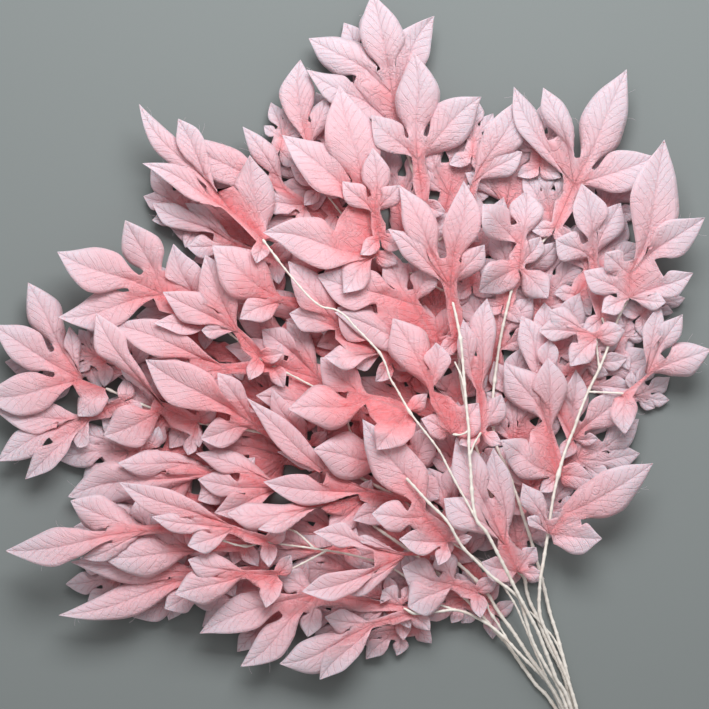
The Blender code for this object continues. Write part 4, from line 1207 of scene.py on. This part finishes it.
@dataclass(frozen=True)
class LooseThreads:
    """Fine threads that have worked loose from the cut edges of the upper leaves."""

    material: bpy.types.Material
    shift: np.ndarray
    radius: float = 0.075
    length: float = 7.5
    length_varies: float = 4.5
    curl: float = 1.3  # most that a thread turns, in radians
    rise: float = 0.10
    steps: int = 8
    per_lobe: int = 4

    def thread(self, start: np.ndarray, height: float, heading: np.ndarray, number: float) -> np.ndarray:
        """The points of one thread, which leaves the edge and curls as it goes.

        Args:
            start: its plan place on the edge, in millimetres.
            height: its height there.
            heading: the plan direction in which it leaves.
            number: what its length and curl are drawn from.

        Returns:
            Its points in millimetres, one a row.
        """
        length = self.length + self.length_varies * lasting_draw(number, start[0])
        curl = self.curl * lasting_draw(start[1], number)
        points = [np.array((*start, height))]
        for step in range(self.steps):
            way = turned(heading, curl * (step + 1) / self.steps)
            rise = self.rise * math.sin(2.2 * step / self.steps + curl)
            points.append(points[-1] + length / self.steps * np.array((way[0], way[1], rise)))
        return np.array(points)

    def build(self, leaves: list) -> bpy.types.Object:
        """Makes all the threads as one object.

        Args:
            leaves: the settled cloth leaves.

        Returns:
            The finished object.
        """
        tube = new_tube("loose_threads", self.radius, 0)
        for leaf in leaves:
            net = leaf.net
            places, along = np.array(net.places), np.array(net.along)
            cut = (np.abs(np.array(net.across)) > 0.99) & (along > 0.3) & (along < 0.97)
            for index, lobe in enumerate(net.lobes):
                edge = np.nonzero(cut & (np.array(net.lobe_of) == index))[0]
                if lobe.is_ear or len(edge) == 0 or lasting_draw(lobe.tip[1], lobe.length) < 0.1:
                    continue
                for number in range(self.per_lobe):
                    share = 0.5 + 0.5 * lasting_draw(lobe.tip[0] + 3.0 * number, lobe.tip[1])
                    at = edge[min(int(share * len(edge)), len(edge) - 1)]
                    away = unit(places[at] - lobe.cloth_axis(along[at]))
                    heading = unit(away + 0.9 * unit(lobe.tip - lobe.root))
                    points = self.thread(places[at] - 0.3 * away, leaf.z[at], heading, number + lobe.length)
                    add_line(tube, np.column_stack((points[:, :2] + self.shift, np.maximum(points[:, 2], 0.3))))
        select_only(new_object("loose_threads", tube))
        bpy.ops.object.convert(target="MESH")
        threads = bpy.context.view_layer.objects.active
        for name, value in (("along", 0.9), ("across", 0.5), ("vein", 0.25), ("tone_and_shade", 0.5)):
            add_values(threads.data, name, np.full(len(threads.data.vertices), value))
        threads.data.materials.clear()
        threads.data.materials.append(self.material)
        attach(threads, BODY)
        return threads


class NodeTree:
    """A short way to add and join shader nodes in one tree."""

    def __init__(self, tree: bpy.types.NodeTree) -> None:
        """Takes the tree."""
        self.tree = tree

    def add(self, kind: str, values: dict | None = None, **settings: object) -> bpy.types.Node:
        """Adds a node.

        Args:
            kind: its type without the ShaderNode prefix.
            values: for its input sockets, a number, a colour or another node's output.
            settings: its own properties.

        Returns:
            The node.
        """
        node = self.tree.nodes.new("ShaderNode" + kind)
        for key, value in settings.items():
            setattr(node, key, value)
        self.fill(node, values or {})
        return node

    def fill(self, node: bpy.types.Node, values: dict) -> None:
        """Sets or joins several inputs of a node."""
        for key, value in values.items():
            self.put(node.inputs[key], value)

    def put(self, socket: bpy.types.NodeSocket, value: object) -> None:
        """Sets a socket to a value, or joins an output to it."""
        if isinstance(value, bpy.types.NodeSocket):
            self.tree.links.new(value, socket)
        else:
            socket.default_value = value

    def math(self, operation: str, *values: object) -> bpy.types.NodeSocket:
        """The result of a math node on up to three values."""
        node = self.tree.nodes.new("ShaderNodeMath")
        node.operation = operation
        self.fill(node, dict(enumerate(values)))
        return node.outputs[0]

    def total(self, *parts: tuple) -> bpy.types.NodeSocket:
        """The sum of values, each given with the share that it counts for."""
        result = 0.0
        for value, share in parts:
            result = self.math("MULTIPLY_ADD", value, share, result)
        return result

    def remap(self, value: object, low: float, high: object, to_low: float, to_high: float) -> bpy.types.NodeSocket:
        """A value carried smoothly from one range to another and held at its ends."""
        return self.add("MapRange", {"Value": value, "From Min": low, "From Max": high, "To Min": to_low,
                                     "To Max": to_high}, interpolation_type="SMOOTHSTEP").outputs[0]

    def blend(self, share: object, first: object, second: object) -> bpy.types.NodeSocket:
        """A mix of two colours."""
        return self.add("Mix", {0: share, 6: first, 7: second}, data_type="RGBA").outputs[2]

    def attribute(self, name: str) -> bpy.types.NodeSocket:
        """The value of a point attribute."""
        return self.add("Attribute", attribute_name=name).outputs["Fac"]

    def place(self) -> bpy.types.NodeSocket:
        """The place on the surface, in Object coordinates."""
        return self.add("TexCoord").outputs["Object"]

    def noise(self, place: bpy.types.NodeSocket, scale: object, **settings: float) -> bpy.types.NodeSocket:
        """The value of a noise texture at a place."""
        return self.add("TexNoise", {"Vector": place, "Scale": scale, **settings}).outputs["Fac"]

    def bump(self, height: object, strength: float, distance: float) -> bpy.types.NodeSocket:
        """The normal that a height gives, for a full height of so many metres."""
        return self.add("Bump", {"Height": height, "Strength": strength, "Distance": distance}).outputs["Normal"]


def new_group(name: str, inputs: tuple, outputs: tuple) -> tuple:
    """A new shader node group.

    Args:
        name: its name.
        inputs: (name, default) of each number it takes.
        outputs: the name of each number it gives.

    Returns:
        The group, its node tree helper, its input node and its output node.
    """
    group = bpy.data.node_groups.new(name, "ShaderNodeTree")
    for label, default in inputs:
        socket = group.interface.new_socket(label, in_out="INPUT", socket_type="NodeSocketFloat")
        socket.default_value = default
    for label in outputs:
        group.interface.new_socket(label, in_out="OUTPUT", socket_type="NodeSocketFloat")
    tree = NodeTree(group)
    return group, tree, group.nodes.new("NodeGroupInput"), group.nodes.new("NodeGroupOutput")


def weave_group() -> bpy.types.NodeTree:
    """Fine crossed threads: a height from 0 to 1 and a mask of slubs, on Object coordinates."""
    group, tree, source, result = new_group("woven_threads", (("Threads per metre", 1800.0), ("Slubs", 0.5)),
                                            ("Height", "Slub"))
    place = tree.place()
    wander = tree.math("MULTIPLY", tree.noise(place, 60.0, Detail=2.0), 0.004)
    split = tree.add("SeparateXYZ", {0: place})
    rows = []
    for axis in ("X", "Y"):
        turns = tree.math("MULTIPLY", tree.math("ADD", split.outputs[axis], wander),
                          source.outputs["Threads per metre"])
        rows.append(tree.math("SINE", tree.math("MULTIPLY", turns, math.pi)))
    drawn_out = tree.add("Mapping", {"Vector": place, "Scale": (90.0, 900.0, 90.0)}).outputs[0]
    slub = tree.remap(tree.noise(drawn_out, 1.0, Detail=3.0), 0.5, 0.72, 0.0, 1.0)
    tree.fill(result, {"Height": tree.math("MULTIPLY_ADD", tree.math("MULTIPLY", *rows), 0.5, 0.5),
                       "Slub": tree.math("MULTIPLY", slub, source.outputs["Slubs"])})
    return group


def vein_group() -> bpy.types.NodeTree:
    """The pressed midrib and side veins of a leaf, from its along, across and vein attributes."""
    group, tree, source, result = new_group("pressed_veins", (("Width", 0.13), ("Fade", 0.5)),
                                            ("Vein", "Midrib", "Pleat"))
    across = tree.math("ABSOLUTE", tree.attribute("across"))
    waver = tree.math("SUBTRACT", tree.noise(tree.place(), 38.0, Detail=2.0), 0.5)
    count = tree.math("MULTIPLY_ADD", waver, 0.5, tree.attribute("vein"))
    off = tree.math("ABSOLUTE", tree.math("SUBTRACT", tree.math("FRACT", count), 0.5))
    line = tree.remap(tree.math("SUBTRACT", 0.5, off), 0.0, source.outputs["Width"], 1.0, 0.0)
    fine = tree.math("ABSOLUTE", tree.math("SINE", tree.math("MULTIPLY", count, 4.0 * math.pi)))
    tree.fill(result, {"Vein": tree.math("MULTIPLY", line, tree.remap(across, 0.55, 0.98, 1.0, 0.0)),
                       "Midrib": tree.remap(across, 0.0, 0.085, 1.0, 0.0),
                       "Pleat": tree.math("MULTIPLY", fine, source.outputs["Fade"])})
    return group


def wear_group() -> bpy.types.NodeTree:
    """Uneven patches of two sizes and sharp folds, as dye and handling leave them, on Object coordinates."""
    group, tree, source, result = new_group("uneven_patches", (("Scale", 22.0),), ("Broad", "Fine", "Crumple"))
    place, scale = tree.place(), source.outputs["Scale"]
    folds = tree.noise(place, tree.math("MULTIPLY", scale, 2.6), Detail=3.0, Roughness=0.6, Distortion=0.9)
    off = tree.math("ABSOLUTE", tree.math("SUBTRACT", folds, 0.5))
    tree.fill(result, {"Broad": tree.noise(place, scale, Detail=3.0),
                       "Fine": tree.noise(place, tree.math("MULTIPLY", scale, 9.0), Detail=4.0, Roughness=0.6),
                       "Crumple": tree.remap(off, 0.0, 0.055, 1.0, 0.0)})
    return group


def new_material(name: str) -> tuple:
    """A material with a Principled BSDF: the material, its tree helper and its shader."""
    material = bpy.data.materials.new(name)
    material.use_nodes = True
    return material, NodeTree(material.node_tree), material.node_tree.nodes["Principled BSDF"]


@dataclass(frozen=True)
class ClothFinish:
    """Pressed dyed cloth: deep rose at the foot, salmon in the body, nearly white lilac at the tips."""

    foot: tuple = (0.80, 0.19, 0.21, 1.0)
    body: tuple = (0.86, 0.295, 0.325, 1.0)
    blade: tuple = (0.82, 0.44, 0.49, 1.0)
    tip: tuple = (0.72, 0.54, 0.605, 1.0)
    slub: tuple = (0.93, 0.82, 0.86, 1.0)
    rib_colour: float = 0.18  # how far the veins turn to the body's colour
    threads: float = 2600.0  # to the metre
    roughness: float = 0.74
    sheen: float = 0.22

    def material(self, weave: bpy.types.NodeTree, veins: bpy.types.NodeTree, wear: bpy.types.NodeTree
                 ) -> bpy.types.Material:
        """Builds the material from the shared node groups."""
        material, tree, shader = new_material("pressed_cloth")
        along, tone_and_shade = tree.attribute("along"), tree.attribute("tone_and_shade")
        across = tree.math("ABSOLUTE", tree.attribute("across"))
        threads = tree.add("Group", {"Threads per metre": self.threads}, node_tree=weave).outputs
        ribs = tree.add("Group", node_tree=veins).outputs
        patches = tree.add("Group", node_tree=wear).outputs
        # The tone deepens the colour: partly each leaf's dyeing and random tone, partly painted shade on the leaves in
        # the middle of the pile.
        depth = tree.total((tree.math("SUBTRACT", tone_and_shade, 0.5), -0.9),
                           (tree.math("SUBTRACT", patches["Broad"], 0.5), 0.34), (across, 0.07), (along, 1.0))
        ramp = tree.add("ValToRGB", {"Fac": depth})
        stops = ((0.0, self.foot), (0.17, self.body), (0.46, self.blade), (0.92, self.tip))
        ramp.color_ramp.interpolation = "EASE"
        for number, (place, colour) in enumerate(stops):
            stop = ramp.color_ramp.elements[number] if number < 2 else ramp.color_ramp.elements.new(place)
            stop.position, stop.color = place, colour
        ribs_mask = tree.math("MULTIPLY", tree.math("MAXIMUM", ribs["Vein"], ribs["Midrib"]), self.rib_colour)
        colour = tree.blend(ribs_mask, ramp.outputs["Color"], self.body)
        colour = tree.blend(tree.remap(patches["Fine"], 0.35, 0.7, 0.0, 0.16), colour, self.tip)
        colour = tree.blend(tree.math("MULTIPLY", threads["Slub"], 0.22), colour, self.slub)
        height = tree.total((threads["Height"], 0.10), (patches["Fine"], 0.35), (ribs["Vein"], -0.55),
                            (ribs["Midrib"], -0.6), (ribs["Pleat"], 0.28),
                            (patches["Crumple"], tree.remap(along, 0.1, 0.9, -0.95, -0.3)))
        tree.fill(shader, {
            "Base Color": colour,
            "Roughness": tree.remap(patches["Fine"], 0.3, 0.8, self.roughness - 0.08, self.roughness + 0.1),
            "Normal": tree.bump(height, 0.8, 0.0008),
            "Sheen Weight": self.sheen, "Sheen Roughness": 0.45, "Specular IOR Level": 0.25,
            "Subsurface Weight": 0.4, "Subsurface Radius": (1.0, 0.45, 0.4), "Subsurface Scale": 0.003})
        return material


@dataclass(frozen=True)
class CoatingFinish:
    """Cream paper-like coating over wire, with a few worn and stained places."""

    colour: tuple = (0.82, 0.77, 0.71, 1.0)
    stain: tuple = (0.62, 0.50, 0.43, 1.0)

    def material(self, wear: bpy.types.NodeTree) -> bpy.types.Material:
        """Builds the material from the shared node groups."""
        material, tree, shader = new_material("cream_coating")
        patches = tree.add("Group", {"Scale": 60.0}, node_tree=wear).outputs
        stain = tree.remap(patches["Broad"], 0.5, 0.75, 0.0, 0.55)
        tree.fill(shader, {"Base Color": tree.blend(stain, self.colour, self.stain),
                           "Roughness": tree.remap(patches["Fine"], 0.3, 0.8, 0.45, 0.68),
                           "Normal": tree.bump(patches["Fine"], 0.5, 0.0004)})
        return material


@dataclass(frozen=True)
class TapeFinish:
    """Creped tape wound round the wires."""

    colour: tuple = (0.78, 0.70, 0.61, 1.0)
    fold: tuple = (0.60, 0.50, 0.42, 1.0)

    def material(self, wear: bpy.types.NodeTree, weave: bpy.types.NodeTree) -> bpy.types.Material:
        """Builds the material from the shared node groups."""
        material, tree, shader = new_material("creped_tape")
        patches = tree.add("Group", {"Scale": 45.0}, node_tree=wear).outputs
        threads = tree.add("Group", {"Threads per metre": 1200.0}, node_tree=weave).outputs
        fold = tree.remap(patches["Fine"], 0.42, 0.7, 0.0, 0.6)
        height = tree.total((threads["Height"], 0.3), (patches["Fine"], 1.0))
        tree.fill(shader, {"Base Color": tree.blend(fold, self.colour, self.fold), "Roughness": 0.78,
                           "Normal": tree.bump(height, 0.5, 0.0005)})
        return material


@dataclass(frozen=True)
class TapedHandle:
    """The tape wound round the eight wires: overlapping turns, each a shallow cone. Sizes are in millimetres."""

    material: bpy.types.Material
    shift: np.ndarray
    turns: int = 15
    sides: int = 40
    play: float = 0.15  # how far its inside lies within that of the CAD sleeve
    turn_steps: tuple = ((0.04, 0.55), (0.80, 0.15), (0.16, 0.0))  # shares of a turn, and how far each stands out
    lean: float = 0.32  # how far the turns lean along the handle, as a share of one turn
    wall: float = 0.5
    crease_angle: float = math.radians(35.0)

    def build(self) -> bpy.types.Object:
        """Makes the tape's object over the CAD sleeve.

        Returns:
            The finished object.
        """
        start, end = np.array(HANDLE_MOUTH) + self.shift, np.array(HANDLE_END) + self.shift
        run = end - start
        length = float(np.linalg.norm(run))
        inner = WIRE.sleeve_inner - self.play
        bpy.ops.object.select_all(action="DESELECT")
        bpy.ops.mesh.primitive_circle_add(vertices=self.sides, radius=inner * MM, fill_type="NOTHING",
                                          location=(0.0, 0.0, 0.0))
        tape = bpy.context.object
        bpy.ops.object.mode_set(mode="EDIT")
        bpy.ops.mesh.select_all(action="SELECT")
        pitch = length / self.turns
        reach = inner
        for share, out in self.turn_steps * self.turns:
            bpy.ops.mesh.extrude_region_move(TRANSFORM_OT_translate={"value": (0.0, 0.0, share * pitch * MM)})
            bpy.ops.transform.resize(value=((inner + out) / reach, (inner + out) / reach, 1.0))
            reach = inner + out
        bpy.ops.object.mode_set(mode="OBJECT")
        mesh = tape.data
        for vertex in mesh.vertices:
            at_end = min(vertex.co.z / (pitch * MM), (length * MM - vertex.co.z) / (pitch * MM), 1.0)
            vertex.co.z += self.lean * pitch * MM * (vertex.co.y / (inner * MM)) * max(at_end, 0.0)
        wall = tape.modifiers.new("wall", "SOLIDIFY")
        wall.thickness = self.wall * MM
        wall.offset = -1.0
        bpy.ops.object.modifier_apply(modifier=wall.name)
        tape.rotation_euler = (math.pi / 2, 0.0, math.atan2(run[1], run[0]) + math.pi / 2)
        tape.location = (start[0] * MM, start[1] * MM, (WIRE.sleeve_inner + WIRE.sleeve_wall) * MM)
        bpy.ops.object.transform_apply(location=True, rotation=True, scale=True)
        tape.name = mesh.name = "tape_wrap"
        mesh.materials.append(self.material)
        bpy.ops.object.shade_smooth_by_angle(angle=self.crease_angle)
        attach(tape, BODY)
        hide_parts("tape_sleeve")
        return tape


@dataclass(frozen=True)
class Studio:
    """The floor, the soft lights and the camera. Sizes are in metres, and places are from the leafy part's middle."""

    camera_height: float = 2.9
    view_width: float = 0.709
    view_level: float = 0.03  # the height at which the view is that wide
    sensor: float = 36.0
    floor_size: float = 14.0
    floor_drop: float = 0.0002
    floor_colour: tuple = (0.207, 0.229, 0.229, 1.0)
    floor_fleck: tuple = (0.20, 0.205, 0.205, 1.0)
    lamps: tuple = (("window", (0.16, 1.15, 1.5), (1.3, 0.9), 40.0), ("bounce", (-0.2, 0.7, 2.6), (2.0, 2.0), 8.0))
    sky: tuple = (1.0, 0.985, 0.97, 1.0)
    fill: float = 0.35

    def build(self, shift: np.ndarray) -> None:
        """Sets up the studio.

        Args:
            shift: the plan offset from the layout tables to the CAD frame, in millimetres.
        """
        middle = (shift[0] * MM, shift[1] * MM)
        bpy.ops.object.select_all(action="DESELECT")
        bpy.ops.mesh.primitive_plane_add(size=self.floor_size, location=(0.0, 0.0, -self.floor_drop))
        floor = bpy.context.object
        floor.name = "floor"
        material, tree, shader = new_material("plain_floor")
        grain = tree.remap(tree.noise(tree.place(), 420.0, Detail=3.0), 0.3, 0.7, 0.0, 0.06)
        tree.fill(shader, {"Base Color": tree.blend(grain, self.floor_colour, self.floor_fleck), "Roughness": 0.85,
                           "Specular IOR Level": 0.2})
        floor.data.materials.append(material)
        for name, (x, y, height), size, power in self.lamps:
            self.light(name, (middle[0] + x, middle[1] + y, height), middle, size, power)
        world = bpy.data.worlds.new("studio")
        bpy.context.scene.world = world
        world.use_nodes = True
        NodeTree(world.node_tree).fill(world.node_tree.nodes["Background"],
                                       {"Color": self.sky, "Strength": self.fill})
        camera = bpy.data.cameras.new("camera")
        camera.sensor_width = self.sensor
        camera.lens = self.sensor * (self.camera_height - self.view_level) / self.view_width
        camera.clip_end = 50.0
        holder = new_object("camera", camera)
        holder.location = (*middle, self.camera_height)
        bpy.context.scene.camera = holder
        bpy.context.scene.view_settings.view_transform = "Standard"

    @staticmethod
    def light(name: str, place: tuple, aim: tuple, size: tuple, power: float) -> None:
        """Adds a soft rectangular light.

        Args:
            name: its name.
            place: where it hangs.
            aim: the point of the floor it faces.
            size: its width and height.
            power: its power in watts.
        """
        lamp = bpy.data.lights.new(name, "AREA")
        lamp.shape = "RECTANGLE"
        lamp.size, lamp.size_y = size
        lamp.energy = power
        holder = new_object(name, lamp)
        holder.location = place
        x, y, z = np.array(place) - np.array((*aim, 0.0))
        holder.rotation_euler = (math.atan2(math.hypot(x, y), z), 0.0, math.atan2(y, x) + math.pi / 2)


def plan_shift() -> np.ndarray:
    """The plan offset from the layout tables to the CAD frame, in millimetres, found from the handle."""
    low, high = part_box("tape_sleeve")
    middle = np.array((low[0] + high[0], low[1] + high[1])) / 2.0 / MM
    return middle - (np.array(HANDLE_MOUTH) + np.array(HANDLE_END)) / 2.0


def main() -> None:
    """Builds the studio, the finishes and every piece of the branch."""
    logging.basicConfig(level=logging.INFO, format="%(name)s: %(message)s")
    shift = plan_shift()
    Studio().build(shift)
    weave, veins, wear = weave_group(), vein_group(), wear_group()
    cloth = ClothFinish().material(weave, veins, wear)
    coating = CoatingFinish().material(wear)
    tape = TapeFinish().material(wear, weave)
    pile = Pile()
    pieces = []
    for plan in UNDER + PILE:
        piece = ClothLeaf(plan, cloth, shift) if isinstance(plan, LeafPlan) else WireStem(plan, coating, shift)
        piece.settle(pile, frame["nodes"])
        pieces.append(piece)
    feet = np.array([plan.foot for plan in UNDER + PILE if isinstance(plan, LeafPlan)], float)
    for piece in pieces:
        made = piece.build() if isinstance(piece, ClothLeaf) else piece.build(feet)
        log.info("%s: %d faces", made.name, len(made.data.polygons))
    upper = [piece for piece in pieces if isinstance(piece, ClothLeaf) and piece.plan.in_cad]
    for made in (LooseThreads(cloth, shift).build(upper), TapedHandle(tape, shift).build()):
        log.info("%s: %d faces", made.name, len(made.data.polygons))
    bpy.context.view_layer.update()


if __name__ == "__main__":
    main()
